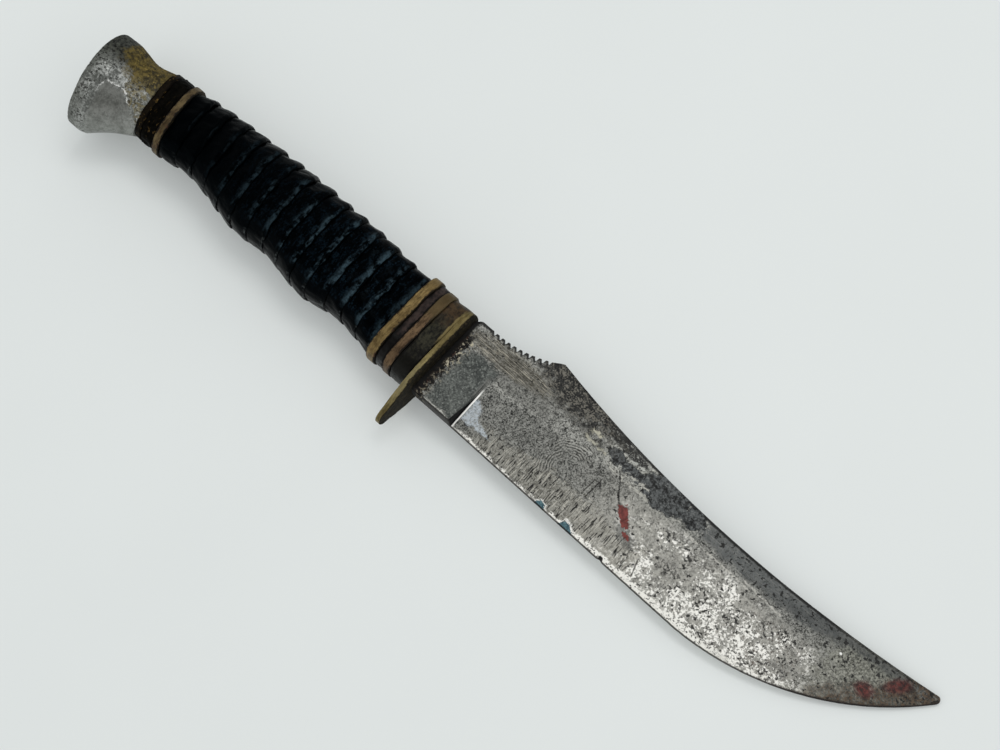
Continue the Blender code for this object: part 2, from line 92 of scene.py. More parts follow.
def knife_pose():
    """Matrix from the knife's axes to the frame's, from the two mounts on the ricasso."""
    mounts = {m["name"]: m for m in frame["record"]["mounts"]}
    upper, lower = (Vector(mounts[n]["pos_m"]) for n in ("ricasso_upper", "ricasso_lower"))
    across = Vector(mounts["ricasso_upper"]["axis"]).normalized()
    to_spine = Vector((0, 1, 0))
    along = to_spine.cross(across)
    turn = Matrix((along, to_spine, across)).transposed().to_4x4()
    return Matrix.Translation((upper + lower) / 2 - along * MOUNT_FROM_GUARD) @ turn


POSE = knife_pose()


def knife_mesh(node):
    """Copy of a CAD node's mesh, in the knife's axes."""
    mesh = frame["nodes"][node].data.copy()
    mesh.transform(POSE.inverted())
    return mesh


def evaluated(mesh, *modifiers):
    """The mesh after a stack of modifiers, each given as (type, settings)."""
    holder = bpy.data.objects.new("holder", mesh)
    bpy.context.scene.collection.objects.link(holder)
    for kind, settings in modifiers:
        modifier = holder.modifiers.new(kind.title(), kind)
        for key, value in settings.items():
            setattr(modifier, key, value)
    done = bpy.data.meshes.new_from_object(holder.evaluated_get(bpy.context.evaluated_depsgraph_get()))
    bpy.data.objects.remove(holder)
    return done


def fine_mesh(node, voxel, passes=SMOOTH_PASSES):
    """Fine, evenly spaced copy of a CAD node with slightly rounded corners."""
    return evaluated(
        knife_mesh(node),
        ("REMESH", {"mode": "VOXEL", "voxel_size": voxel}),
        ("SMOOTH", {"factor": 0.5, "iterations": passes}),
    )


def points_of(mesh):
    flat = np.empty(len(mesh.vertices) * 3)
    mesh.vertices.foreach_get("co", flat)
    return flat.reshape(-1, 3)


def normals_of(mesh):
    flat = np.empty(len(mesh.vertices) * 3)
    mesh.vertex_normals.foreach_get("vector", flat)
    return flat.reshape(-1, 3)


def move_points(mesh, points):
    mesh.vertices.foreach_set("co", points.ravel())
    mesh.update()


def rough_noise(points, size, octaves=2, shift=0.0):
    """Fractal noise at each point, about -1 to 1, with lumps of the given size."""
    places = points / size + shift
    return np.array([noise.fractal(Vector(p), 1.0, 2.0, octaves) for p in places])


def soft_step(value, low, high):
    share = np.clip((value - low) / (high - low), 0.0, 1.0)
    return share * share * (3 - 2 * share)


def depth_inside(x, y, corners, least):
    """How deep a place lies inside a convex outline whose corners go round anticlockwise."""
    depth = None
    for (x0, y0), (x1, y1) in zip(corners, corners[1:] + corners[:1]):
        run, rise = x1 - x0, y1 - y0
        long = math.hypot(run, rise)
        side = (y - y0) * (run / long) - (x - x0) * (rise / long)
        depth = side if depth is None else least(depth, side)
    return depth


def dress(node, mesh, material):
    """Makes the mesh the visible piece that stands for a CAD node."""
    mesh.shade_smooth()
    mesh.set_sharp_from_angle(angle=SHARP_ANGLE)
    mesh.materials.clear()
    mesh.materials.append(material)
    mesh.transform(POSE)
    move_points(mesh, np.clip(points_of(mesh), cad_box[0], cad_box[1]))
    piece = bpy.data.objects.new("worn_" + node, mesh)
    bpy.context.scene.collection.objects.link(piece)
    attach(piece, "root")
    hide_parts(node)
    return piece


# Material building

def linear(colour):
    """Screen colour, 0 to 255, as the linear colour that shaders use."""
    shares = [c / 255 for c in colour]
    return [c / 12.92 if c <= 0.04045 else ((c + 0.055) / 1.055) ** 2.4 for c in shares] + [1.0]


class Field:
    """A number that varies over a surface: one node output, with arithmetic."""

    def __init__(self, skin, socket):
        self.skin, self.socket = skin, socket

    def __add__(self, other):
        return self.skin.math("ADD", self, other)

    def __sub__(self, other):
        return self.skin.math("SUBTRACT", self, other)

    def __rsub__(self, other):
        return self.skin.math("SUBTRACT", other, self)

    def __mul__(self, other):
        return self.skin.math("MULTIPLY", self, other)

    def __truediv__(self, other):
        return self.skin.math("DIVIDE", self, other)

    __radd__, __rmul__ = __add__, __mul__

    def least(self, other):
        return self.skin.math("MINIMUM", self, other)

    def most(self, other):
        return self.skin.math("MAXIMUM", self, other)

    def size(self):
        return self.skin.math("ABSOLUTE", self)


class Skin:
    """A material that is built up in layers. Places and lifts are in millimetres, in the knife's axes."""

    def __init__(self, name, colour, rough, metal=0.0, **uniform):
        self.material = bpy.data.materials.new(name)
        self.material.use_nodes = True
        self.tree = self.material.node_tree
        self.tree.nodes.clear()
        self.shader = self.tree.nodes.new("ShaderNodeBsdfPrincipled")
        output = self.tree.nodes.new("ShaderNodeOutputMaterial")
        self.tree.links.new(self.shader.outputs["BSDF"], output.inputs["Surface"])
        for socket, value in uniform.items():
            self.shader.inputs[socket.replace("_", " ").title().replace("Ior", "IOR")].default_value = value
        coordinates = self.tree.nodes.new("ShaderNodeTexCoord")
        knife = self.tree.nodes.new("ShaderNodeMapping")
        knife.vector_type = "TEXTURE"
        knife.inputs["Location"].default_value = POSE.translation
        knife.inputs["Rotation"].default_value = POSE.to_euler()
        knife.inputs["Scale"].default_value = (MM, MM, MM)
        self.tree.links.new(coordinates.outputs["Object"], knife.inputs["Vector"])
        self.place = knife.outputs["Vector"]
        apart = self.tree.nodes.new("ShaderNodeSeparateXYZ")
        self.tree.links.new(self.place, apart.inputs[0])
        self.x, self.y, self.z = (Field(self, apart.outputs[i]) for i in range(3))
        self.colour, self.rough, self.metal, self.height = colour, rough, metal, 0.0

    def feed(self, socket, value):
        if isinstance(value, Field):
            self.tree.links.new(value.socket, socket)
        elif isinstance(value, tuple):
            socket.default_value = linear(value)
        else:
            socket.default_value = value

    def math(self, operation, first, second=0.0):
        node = self.tree.nodes.new("ShaderNodeMath")
        node.operation = operation
        self.feed(node.inputs[0], first)
        self.feed(node.inputs[1], second)
        return Field(self, node.outputs[0])

    def step(self, field, low, high):
        """0 up to low, 1 past high, smooth between. It falls if low is above high."""
        node = self.tree.nodes.new("ShaderNodeMapRange")
        node.interpolation_type = "SMOOTHSTEP"
        self.feed(node.inputs["Value"], field)
        node.inputs["From Min"].default_value = low
        node.inputs["From Max"].default_value = high
        return Field(self, node.outputs["Result"])

    def span(self, field, low, high, soft):
        """1 between low and high, fading over soft on both sides."""
        return self.step(field, low - soft, low + soft) * self.step(field, high + soft, high - soft)

    def mapped(self, size, stretch, turn, shift):
        node = self.tree.nodes.new("ShaderNodeMapping")
        self.tree.links.new(self.place, node.inputs["Vector"])
        node.inputs["Location"].default_value = (shift, shift, shift)
        node.inputs["Rotation"].default_value = (0, 0, math.radians(turn))
        node.inputs["Scale"].default_value = [1 / (size * s) for s in stretch]
        return node.outputs["Vector"]

    def noise(self, size, detail=2.0, rough=0.5, stretch=(1, 1, 1), turn=0.0, shift=0.0, swirl=0.0):
        """Cloudy pattern from 0 to 1, with lumps of the given size, drawn out along each axis by stretch."""
        node = self.tree.nodes.new("ShaderNodeTexNoise")
        self.tree.links.new(self.mapped(size, stretch, turn, shift), node.inputs["Vector"])
        for socket, value in (("Scale", 1.0), ("Detail", detail), ("Roughness", rough), ("Distortion", swirl)):
            node.inputs[socket].default_value = value
        return Field(self, node.outputs["Fac"])

    def cells(self, size, feature="F1", stretch=(1, 1, 1), turn=0.0, shift=0.0):
        """Distance to scattered points, or to the borders between them, in cells."""
        node = self.tree.nodes.new("ShaderNodeTexVoronoi")
        node.feature = feature
        self.tree.links.new(self.mapped(size, stretch, turn, shift), node.inputs["Vector"])
        node.inputs["Scale"].default_value = 1.0
        return Field(self, node.outputs["Distance"])

    def facing(self, axis):
        """How far the surface faces along one of the knife's axes, -1 to 1."""
        node = self.tree.nodes.new("ShaderNodeTexCoord")
        dot = self.tree.nodes.new("ShaderNodeVectorMath")
        dot.operation = "DOT_PRODUCT"
        self.tree.links.new(node.outputs["Normal"], dot.inputs[0])
        dot.inputs[1].default_value = POSE.to_3x3().col[axis]
        return Field(self, dot.outputs["Value"])

    def reading(self, name):
        """A measure that the mesh holds at each of its points."""
        node = self.tree.nodes.new("ShaderNodeAttribute")
        node.attribute_name = name
        return Field(self, node.outputs["Fac"])

    def edges(self):
        """Raised edges near 1, hollows near 0, from the mesh's own shape."""
        node = self.tree.nodes.new("ShaderNodeNewGeometry")
        return Field(self, node.outputs["Pointiness"])

    def blob(self, x, y, across, high, turn=0.0):
        """0 at the middle of a turned ellipse, 1 on its rim and more beyond."""
        cos, sin = math.cos(math.radians(turn)), math.sin(math.radians(turn))
        dx, dy = self.x - x, self.y - y
        u = (dx * cos + dy * sin) / across
        v = (dy * cos - dx * sin) / high
        return self.math("SQRT", u * u + v * v)

    def inside(self, *corners):
        """How deep a place lies inside a convex outline in the blade's plane, its corners anticlockwise."""
        return depth_inside(self.x, self.y, corners, Field.least)

    def line(self, start, end):
        """Distance from a straight stroke in the blade's plane."""
        (x0, y0), (x1, y1) = start, end
        run, rise = x1 - x0, y1 - y0
        dx, dy = self.x - x0, self.y - y0
        share = ((dx * run + dy * rise) / (run * run + rise * rise)).most(0.0).least(1.0)
        u, v = dx - share * run, dy - share * rise
        return self.math("SQRT", u * u + v * v)

    def shade(self, share, low, high):
        """Colour between two others."""
        node = self.tree.nodes.new("ShaderNodeMix")
        node.data_type = "RGBA"
        self.feed(node.inputs[0], share)
        self.feed(node.inputs[6], low)
        self.feed(node.inputs[7], high)
        return Field(self, node.outputs[2])

    def between(self, share, low, high):
        """Number between two others."""
        node = self.tree.nodes.new("ShaderNodeMix")
        self.feed(node.inputs[0], share)
        self.feed(node.inputs[2], low)
        self.feed(node.inputs[3], high)
        return Field(self, node.outputs[0])

    def lay(self, mask, colour=None, rough=None, metal=None, lift=0.0):
        """Lays one more layer where the mask is 1."""
        if colour is not None:
            self.colour = self.shade(mask, self.colour, colour)
        if rough is not None:
            self.rough = self.between(mask, self.rough, rough)
        if metal is not None:
            self.metal = self.between(mask, self.metal, metal)
        if lift:
            self.height = mask * lift + self.height

    def done(self):
        self.feed(self.shader.inputs["Base Color"], self.colour)
        self.feed(self.shader.inputs["Roughness"], self.rough)
        self.feed(self.shader.inputs["Metallic"], self.metal)
        bump = self.tree.nodes.new("ShaderNodeBump")
        bump.inputs["Distance"].default_value = MM
        self.feed(bump.inputs["Height"], self.height)
        self.tree.links.new(bump.outputs["Normal"], self.shader.inputs["Normal"])
        return self.material


# Blade

def blade_stations(first, last):
    """Places along the blade and its tang where it is cut into sections, closer at the notches and the tip."""
    spans = (
        (first + 0.01, -0.02, TANG_STEP), (-0.02, -0.01, 0.02), (SHOULDER + 0.02, 4.0, 0.30), (4.0, 24.0, 0.16), (24.0, 122.0, 0.34),
        (122.0, last - 0.4, 0.2), (last - 0.4, last - 0.02, 0.05),
    )
    return np.concatenate([np.arange(a, b - 1e-6, step) for a, b, step in spans] + [[last - 0.01]])


def blade_wear(x, y, side):
    """How far wear raises the blade's face at each place, in millimetres."""
    places = np.column_stack([x, y, np.full(len(x), 7.0 * side)])
    if x[0] < SHOULDER:
        return np.zeros(len(x))
    lift = 0.010 * rough_noise(places, 7.0)
    pits = soft_step(rough_noise(places, 1.3, 3), 0.30, 0.65)
    pitted = soft_step(x, 45, 75) * soft_step(-y, -9, -2) * 0.8 + 0.2
    lift -= 0.05 * pits * pitted
    slit = np.exp(-(((x - 11.5 + 0.02 * (y + 2.5)) / 0.20) ** 2)) * soft_step(-y, 3.0, 8.0)
    lift -= 0.30 * slit
    crust = soft_step(-x, -2.6, -0.8) * soft_step(-y, -7.0, -3.0)
    lift += 0.55 * crust * np.clip(rough_noise(places, 0.9, 3, 5.0), 0, 1)
    return lift


def blade_ring(tree, x):
    """One closed section of the blade, from the edge up one side and down the other, in millimetres."""
    top = tree.ray_cast(Vector((x, 60, 0)), Vector((0, -1, 0)))[0].y
    low = tree.ray_cast(Vector((x, -60, 0)), Vector((0, 1, 0)))[0].y
    ground = x > 11.7
    low += (0.05 * max(noise.fractal(Vector((x / 1.7, 3.0, 0)), 1.0, 2.0, 3), 0) + 0.3 * math.exp(-(((x - 55.9) / 0.5) ** 2))) * ground
    room = (top - low) * 0.3
    top_round = min(NOTCH_ROUND if 4.0 < x < 19.6 else SPINE_ROUND, room)
    low_round = min(EDGE_ROUND if ground else RICASSO_ROUND, room)
    bevel_top = min(BEVEL_WIDTH, room)
    ys = np.concatenate([
        np.linspace(low + low_round, low + bevel_top, BEVEL_ROWS, endpoint=False),
        np.linspace(low + bevel_top, top - top_round, BLADE_ROWS),
    ])
    zs = []
    for y in ys:
        hit = tree.ray_cast(Vector((x, min(max(y, low + 0.02), top - 0.02), 20)), Vector((0, 0, -1)))[0]
        zs.append(hit.z if hit is not None else zs[-1] if zs else 0.2)
    zs = np.array(zs)
    if ground:
        zs = np.minimum(zs, BEVEL_EDGE + BEVEL_SLOPE * (ys - low))
    angles = np.linspace(0, math.pi / 2, RIM_STEPS + 1)[1:]
    ring = []
    for side in (1, -1):
        face = zs + blade_wear(np.full(len(ys), x), ys, side)
        face = np.maximum(face, 0.06)
        spine = [(top - top_round * (1 - math.sin(a)), face[-1] - min(top_round, face[-1] * 0.8) * (1 - math.cos(a))) for a in angles]
        edge = [(low + low_round * (1 - math.sin(a)), face[0] - min(low_round, face[0] * 0.8) * (1 - math.cos(a))) for a in angles]
        half = edge[::-1] + list(zip(ys, face)) + spine
        ring += [(x, y, z * side, y - low, top - y) for y, z in (half if side > 0 else half[::-1])]
    return ring


def face_outwards(mesh):
    work = bmesh.new()
    work.from_mesh(mesh)
    bmesh.ops.recalc_face_normals(work, faces=work.faces)
    work.to_mesh(mesh)
    work.free()


def loft(rings):
    """Closed mesh through rings of equal length, in millimetres."""
    mesh = bpy.data.meshes.new("loft")
    count = len(rings[0])
    faces = [
        (r * count + i, r * count + (i + 1) % count, (r + 1) * count + (i + 1) % count, (r + 1) * count + i)
        for r in range(len(rings) - 1) for i in range(count)
    ]
    faces += [tuple(range(count))[::-1], tuple(range((len(rings) - 1) * count, len(rings) * count))]
    mesh.from_pydata([Vector(p[:3]) * MM for ring in rings for p in ring], [], faces)
    face_outwards(mesh)
    for column, name in ((3, "from_edge"), (4, "from_spine")):
        reading = mesh.attributes.new(name, "FLOAT", "POINT")
        reading.data.foreach_set("value", [p[column] for ring in rings for p in ring])
    return mesh


def make_blade(material):
    source = knife_mesh("blade")
    tree = BVHTree.FromPolygons(
        [v.co / MM for v in source.vertices], [tuple(p.vertices) for p in source.polygons]
    )
    ends = points_of(source)[:, 0] / MM
    rings = [blade_ring(tree, x) for x in blade_stations(ends.min(), ends.max())]
    shoulder = next(k for k, ring in enumerate(rings) if ring[0][0] > SHOULDER)
    rings[shoulder] = [(0.0, *p[1:]) for p in rings[shoulder]]     # closes the CAD's gap to the guard
    return dress("blade", loft(rings), material)


# Handle

class Ring:
    """What the looks need from one CAD washer or spacer, in millimetres: its ends along the grip, how far it
    leans, and the radii of its outside and of its slot round it."""

    def __init__(self, node):
        mesh = knife_mesh(node)
        points = points_of(mesh) / MM
        leans = np.radians(np.linspace(0, 10, 41))
        spreads = [np.ptp(points[:, 0] + math.tan(a) * points[:, 1]) for a in leans]
        self.node, self.slope = node, math.tan(leans[int(np.argmin(spreads))])
        along = points[:, 0] + self.slope * points[:, 1]
        self.rear, self.front = along.min(), along.max()
        tree = BVHTree.FromPolygons([Vector(p) for p in points], [tuple(p.vertices) for p in mesh.polygons])
        self.places = self.rear + (self.front - self.rear) * np.array([0.25, 0.5, 0.75])
        self.radii = np.array([rounded(self.reach(tree, place, 1)) for place in self.places])
        self.slot = self.reach(tree, self.places[1], -1)

    def reach(self, tree, place, inward):
        """Distance from the axis to the outside, or to the slot's wall, at each angle."""
        found = []
        for angle in GRIP_ANGLES:
            ray = Vector((-self.slope * math.cos(angle), math.cos(angle), math.sin(angle)))
            start = Vector((place, 0, 0)) + (ray * 40 if inward > 0 else Vector())
            hit = tree.ray_cast(start, -ray * inward)[0]
            found.append(math.hypot(hit.y, hit.z))
        return np.array(found)


def rounded(radii):
    """Radii round a closed loop, without the corners of the CAD's flat faces."""
    for _ in range(3):
        radii = sum(np.roll(radii, k) for k in range(-4, 5)) / 9
    return radii


def ring_of_rows(rows, readings):
    """Closed mesh, shaped like a ring, through closed rows of points, in millimetres. The readings are numbers
    that the mesh keeps for each row."""
    count = len(rows[0])
    faces = [
        (r * count + i, r * count + (i + 1) % count,
         (r + 1) % len(rows) * count + (i + 1) % count, (r + 1) % len(rows) * count + i)
        for r in range(len(rows)) for i in range(count)
    ]
    mesh = bpy.data.meshes.new("ring")
    mesh.from_pydata(np.concatenate(rows) * MM, [], faces)
    face_outwards(mesh)
    for name, values in readings.items():
        reading = mesh.attributes.new(name, "FLOAT", "POINT")
        reading.data.foreach_set("value", np.repeat(values, count))
    return mesh


def edge_round(distance, radius):
    """How far a rounded corner falls away, this far in from the end."""
    short = np.clip(radius - distance, 0, radius)
    return radius - np.sqrt(radius * radius - short * short)


def wander(index, reach):
    """How far a seam wanders along the grip, round it."""
    places = np.column_stack([np.cos(GRIP_ANGLES), np.sin(GRIP_ANGLES), np.full(GRIP_POINTS, index * 3.1)])
    return reach * rough_noise(places, 0.35, 2)


def ring_mesh(ring, rear, front, sizes, shares, sink):
    """Washer between two seams. sizes are (places, radii) of what it lies on, and sink says how far its outside
    falls below that, from the share of its thickness and the points there."""
    places, radii = sizes

    def row(share, radius):
        y, z = radius * np.cos(GRIP_ANGLES), radius * np.sin(GRIP_ANGLES)
        return np.column_stack([rear + (front - rear) * share - ring.slope * y, y, z])

    def outside(share):
        along = (rear + (front - rear) * share) * np.ones(GRIP_POINTS)
        radius = np.array([np.interp(a, places, radii[:, i]) for i, a in enumerate(along)])
        return radius - sink(share, row(share, radius))

    rims = [outside(share) for share in shares]
    inward = np.linspace(0, 1, 6)[1:]
    rows = [row(share, rim) for share, rim in zip(shares, rims)]
    rows += [row(1.0, rims[-1] + (ring.slot - rims[-1]) * t) for t in inward]
    rows += [row(0.0, ring.slot + (rims[0] - ring.slot) * t) for t in inward - inward[0]]
    shares = np.concatenate([shares, np.zeros(len(rows) - len(shares))])
    from_seam = np.minimum(shares, 1 - shares) * (ring.front - ring.rear)
    return ring_of_rows(rows, {"from_seam": from_seam, "to_front": shares})


def make_leather(index, rings, material):
    """Leather washer: crowned, proudest near its front edge, lumpy and creased."""
    ring = rings[index]
    front = ring.front + SEAM_CLOSE + (wander(index, SEAM_WANDER) if index else 0)
    rear = ring.rear - SEAM_CLOSE + (wander(index + 1, SEAM_WANDER) if index + 1 < len(rings) else 0)
    places = np.concatenate([r.places for r in reversed(rings)])
    radii = np.concatenate([r.radii for r in reversed(rings)])
    thick = ring.front - ring.rear

    def sink(share, points):
        lumps = rough_noise(points, 4.5, 2, index * 3.7)
        ripple = rough_noise(points * [0.5, 1, 1], 1.5, 3, index * 1.9)
        behind = np.clip((CROWN_AT - share) / CROWN_AT, 0, 1)
        ahead = np.clip((share - CROWN_AT) / (1 - CROWN_AT), 0, 1) ** 2
        calm = 1 - 0.6 * soft_step(-np.cos(GRIP_ANGLES), 0.35, 0.9)
        fall = (BACK_FALL * (1 + 0.55 * lumps) * behind + FRONT_FALL * (1 + 0.6 * lumps) * ahead) * calm
        fall += 0.14 * np.clip(lumps + 0.3, 0, 1) + 0.10 * np.clip(ripple + 0.4, 0, 2)
        return fall + edge_round((1 - share) * thick, 0.16) + edge_round(share * thick, 0.14)

    mesh = ring_mesh(ring, rear, front, (places, radii), LEATHER_SHARES, sink)
    return dress(ring.node, mesh, material)


def make_spacer(index, node, material, ease, wear, reach):
    """Metal or fibre spacer: a flat band with eased, dented corners. reach says how far its rear and front go
    across the gaps to the pieces beside it."""
    ring = Ring(node)
    thick = ring.front - ring.rear

    def sink(share, points):
        lumps = rough_noise(points, 3.5, 2, index * 2.3)
        dents = rough_noise(points, 0.8, 2, index * 4.1)
        corner = ease * (1 + 0.5 * lumps)
        fall = wear * (np.clip(lumps + 0.2, 0, 1) + 0.5 * np.clip(dents, 0, 1))
        return fall + edge_round((1 - share) * thick, corner) + edge_round(share * thick, corner)

    mesh = ring_mesh(ring, ring.rear - reach[0], ring.front + reach[1], (ring.places, ring.radii), SPACER_SHARES, sink)
    return dress(node, mesh, material)


def make_worn(index, node, material, wear):
    """Guard or nut with rubbed, slightly uneven edges."""
    mesh = fine_mesh(node, METAL_VOXEL, 2)
    points, normals = points_of(mesh), normals_of(mesh)
    lumps = rough_noise(points, 3.0 * MM, 2, index * 2.3)
    dents = rough_noise(points, 0.9 * MM, 2, index * 4.1)
    sink = wear * (np.clip(lumps + 0.3, 0, 1) + 0.4 * np.clip(dents, 0, 1)) * MM
    move_points(mesh, points - normals * sink[:, None])
    return dress(node, mesh, material)


# Ground facet on each side of the pommel: the arris round its upper end, and the crease across its lower end
POMMEL_FACET = ((-100.4, -5.2), (-100.5, -10.3), (-96.9, -26.0), (-85.4, -10.8), (-93.7, -5.3), (-96.2, -4.2))
POMMEL_CREASE = ((-99.6, -14.2), (-91.7, -6.7))
FACET_DEPTH, CREASE_LIFT = 0.38, 0.20


def make_pommel(material):
    """Cast pommel with a hand-ground facet, the same on both sides, and a pitted skin."""
    mesh = fine_mesh("pommel", POMMEL_VOXEL, 1)
    points, normals = points_of(mesh), normals_of(mesh)
    x, y = points[:, 0] / MM, points[:, 1] / MM
    facet = depth_inside(x, y, POMMEL_FACET, np.minimum) + 0.5 * rough_noise(points, 3.0 * MM, 2, 5.0)
    (x0, y0), (x1, y1) = POMMEL_CREASE
    above = ((y - y0) * (x1 - x0) - (x - x0) * (y1 - y0)) / math.hypot(x1 - x0, y1 - y0)
    ground = soft_step(facet, 0.0, 0.9)
    sink = ground * (FACET_DEPTH - CREASE_LIFT * soft_step(-above, -0.6, 0.9))
    pits = soft_step(rough_noise(points, 0.9 * MM, 3, 2.0), 0.15, 0.6)
    lumps = rough_noise(points, 4.0 * MM, 2, 8.0)
    rim = soft_step(-x, 99.5, 102.5)
    crust = soft_step(y, -3.0, 1.5) * (1 - rim)
    sink += (1 - 0.9 * ground) * (pits * (0.06 + 0.12 * rim + 0.10 * crust) + 0.08 * np.clip(lumps + 0.3, 0, 1))
    move_points(mesh, points - normals * sink[:, None] * MM)
    return dress("pommel", mesh, material)


# Finishes

def steel_base(skin, edge, spine):
    """Dull grey steel with a crisp fine grain, paler past the middle, with painted shade: darker on the flat after the
    ricasso, blue-grey along the spine's flat, and a dark line along the spine's rounded edge.
    """
    grain = skin.noise(0.36, 2.5, 0.6)
    coarse = skin.noise(1.1, 4.0, 0.7, shift=7.0)
    cloud = skin.noise(7.0, 4.0, 0.6)
    blotch = skin.noise(3.0, 4.0, 0.65, shift=2.0)
    skin.colour = skin.shade(skin.step(grain * 0.65 + coarse * 0.35, 0.37, 0.63), (46, 47, 44), (172, 172, 166))
    skin.rough = skin.between(grain, 0.34, 0.52)
    skin.height = grain * 0.03
    skin.lay(skin.step(blotch, 0.50, 0.66) * 0.30, (88, 88, 84), 0.5)
    skin.lay(skin.step(blotch, 0.48, 0.34) * 0.08, (164, 163, 156), 0.4)
    pale = skin.span(skin.x + cloud * 12, 53, 112, 9) * skin.step(skin.y - cloud * 5.0, 3.5, -1.0)
    skin.lay(pale * skin.between(skin.step(coarse, 0.40, 0.58), 0.28, 0.62), (206, 203, 194), 0.42)
    # Painted shade: the flat between the ricasso and the hump is painted darker.
    painted_flat_shade = skin.span(skin.x + cloud * 8, 14, 31, 4) * skin.span(skin.y - cloud * 3, 0.8, 8.0, 1.0)
    skin.lay(painted_flat_shade * 0.42, (76, 76, 72), 0.5)
    # Painted shade: a blue-grey band painted on the flat along the spine towards the tip.
    narrow = skin.step(skin.x, 96, 112) * 1.5
    spine_flat_shade = skin.span(skin.x, 66, 123, 4) * skin.step(spine - blotch * 2.4 + narrow, 4.2, 2.4)
    skin.lay(spine_flat_shade * skin.between(skin.step(grain, 0.34, 0.66), 0.40, 0.88), (74, 78, 80), 0.46)
    # Painted shade: a dark line along the spine's rounded edge.
    skin.lay(skin.step(spine + coarse * 0.6, 1.15, 0.80) * 0.95, (16, 16, 14), 0.6, 0.2)


def steel_scratches(skin, top):
    """Hatch of short strokes across the blade, and rings left by a grinding wheel."""
    hatch = skin.noise(0.27, 1.0, 0.5, (1, 13, 1), -3.0)
    tall = skin.noise(2.2, 1.0, 0.5, (1, 0.2, 1), shift=6.0)
    reach = skin.between(skin.step(skin.x, 22, 34), 0.4, 1.0)
    where = skin.span(skin.x, 17, 63, 3) * skin.step(skin.y - tall * 7.0 * reach, -7.0, -8.6)
    skin.lay(where * 0.36, (166, 162, 150), 0.42)
    skin.lay(skin.step(hatch, 0.40, 0.34) * where * 0.55, (216, 212, 200), 0.4, 0.3)
    skin.lay(skin.step(hatch, 0.590, 0.625) * where * 0.97, (18, 17, 15), 0.5, 0.2, -0.04)
    far = skin.blob(37.5, -2.0, 1.0, 1.0)
    rings = skin.math("SINE", (far + skin.noise(2.6, 3.0) * 1.3) * (2 * math.pi / 0.62))
    where = skin.span(far, 2.6, 7.0, 0.8) * skin.step(skin.y - skin.x * 0.55, -25.0, -22.5) * skin.step(skin.x, 42.0, 38.0) * top
    broken = where * skin.step(skin.noise(1.8, 3.0, shift=8.0), 0.38, 0.55)
    skin.lay(skin.step(rings, 0.0, 0.7) * broken * 0.7, (62, 62, 58), lift=-0.02)
    skin.lay(skin.step(rings, -0.2, -0.8) * broken * 0.5, (190, 188, 180))
    fine = skin.noise(0.16, 2.0, 0.5, (40, 1, 1), 3.0)
    skin.lay(skin.step(fine, 0.64, 0.70) * 0.3, (196, 194, 186), 0.36)


def steel_mottle(skin, edge):
    """White and black flecks where the surface has been eaten and rubbed, before the tip."""
    cloud = skin.noise(5.0, 3.0, 0.6, shift=3.0) - 0.5
    heavy = skin.noise(4.0, 3.0, 0.6, shift=13.0) - 0.5
    where = skin.span(skin.x + cloud * 14, 57, 107, 8) * skin.step(skin.y - cloud * 8, 5.5, 1.0)
    low = skin.step(skin.y, 1.0, -9.0) * 0.04 - skin.step(skin.x, 74, 66) * 0.035
    for x, y, across, high in ((69.0, -3.0, 6.5, 3.6), (93.0, 2.8, 8.0, 2.4), (101.0, -2.6, 5.0, 3.0)):
        low = low - skin.step(skin.blob(x, y, across, high), 1.2, 0.5) * 0.055
    white = skin.noise(0.62, 3.5, 0.68, shift=9.0) * 0.8 + skin.noise(1.9, 3.0, 0.6, shift=10.0) * 0.2 + cloud * 0.42 + low
    black = skin.noise(0.66, 3.0, 0.62, shift=11.0) + heavy * 0.55 - skin.step(skin.x, 74, 66) * 0.02
    skin.lay(skin.step(white, 0.500, 0.575) * where * 0.97, (252, 250, 243), 0.42, 0.1, 0.03)
    skin.lay(skin.step(black, 0.620, 0.655) * where * 0.95, (28, 27, 24), 0.65, 0.1, -0.06)
    bits = skin.noise(0.55, 3.5, 0.68, shift=22.0)
    torn = skin.noise(1.6, 5.0, 0.75, shift=24.0) - 0.5
    for x, y, across, high in (
        (68.5, -3.8, 4.4, 2.2), (75.0, 2.0, 2.6, 1.2), (100.4, -4.7, 2.0, 1.4), (94.5, 5.0, 0.9, 0.6), (91.8, -7.6, 1.2, 0.8),
    ):
        dense = skin.step(skin.blob(x, y, across, high) + torn * 2.6, 1.1, 0.3)
        skin.lay(dense * skin.step(bits, 0.48, 0.56) * 0.85, (34, 32, 29), 0.65, 0.1, -0.05)
    for start, end in (((66.0, 4.7), (84.5, 4.3)), ((82.0, 5.2), (92.5, 4.6))):
        pale = skin.step(skin.line(start, end) + torn * 1.6, 0.30, 0.08) * skin.step(bits, 0.40, 0.52)
        skin.lay(pale * 0.7, (214, 211, 202), 0.42, 0.2)
    rust = skin.step(skin.noise(0.9, 4.0, 0.72, shift=21.0), 0.58, 0.64) * skin.span(skin.x, 84, 104, 4)
    skin.lay(rust * where * 0.7, (70, 50, 36), 0.65, 0.1)


def steel_pits(skin, spine):
    """Small ragged black pits, thicker along the spine towards the tip."""
    spots = skin.noise(0.95, 2.5, 0.58, (1.2, 1, 1), shift=5.0)
    some = skin.noise(6.0, 2.0, 0.6, shift=15.0) - 0.5
    more = skin.step(spine, 6, 0.5) * skin.step(skin.x, 62, 80) * 0.045 + skin.step(skin.x, 56, 70) * 0.02
    pits = skin.step(spots + some * 0.16 + more, 0.645, 0.670)
    skin.lay(pits * 0.92, (24, 24, 22), 0.7, 0.1, -0.08)


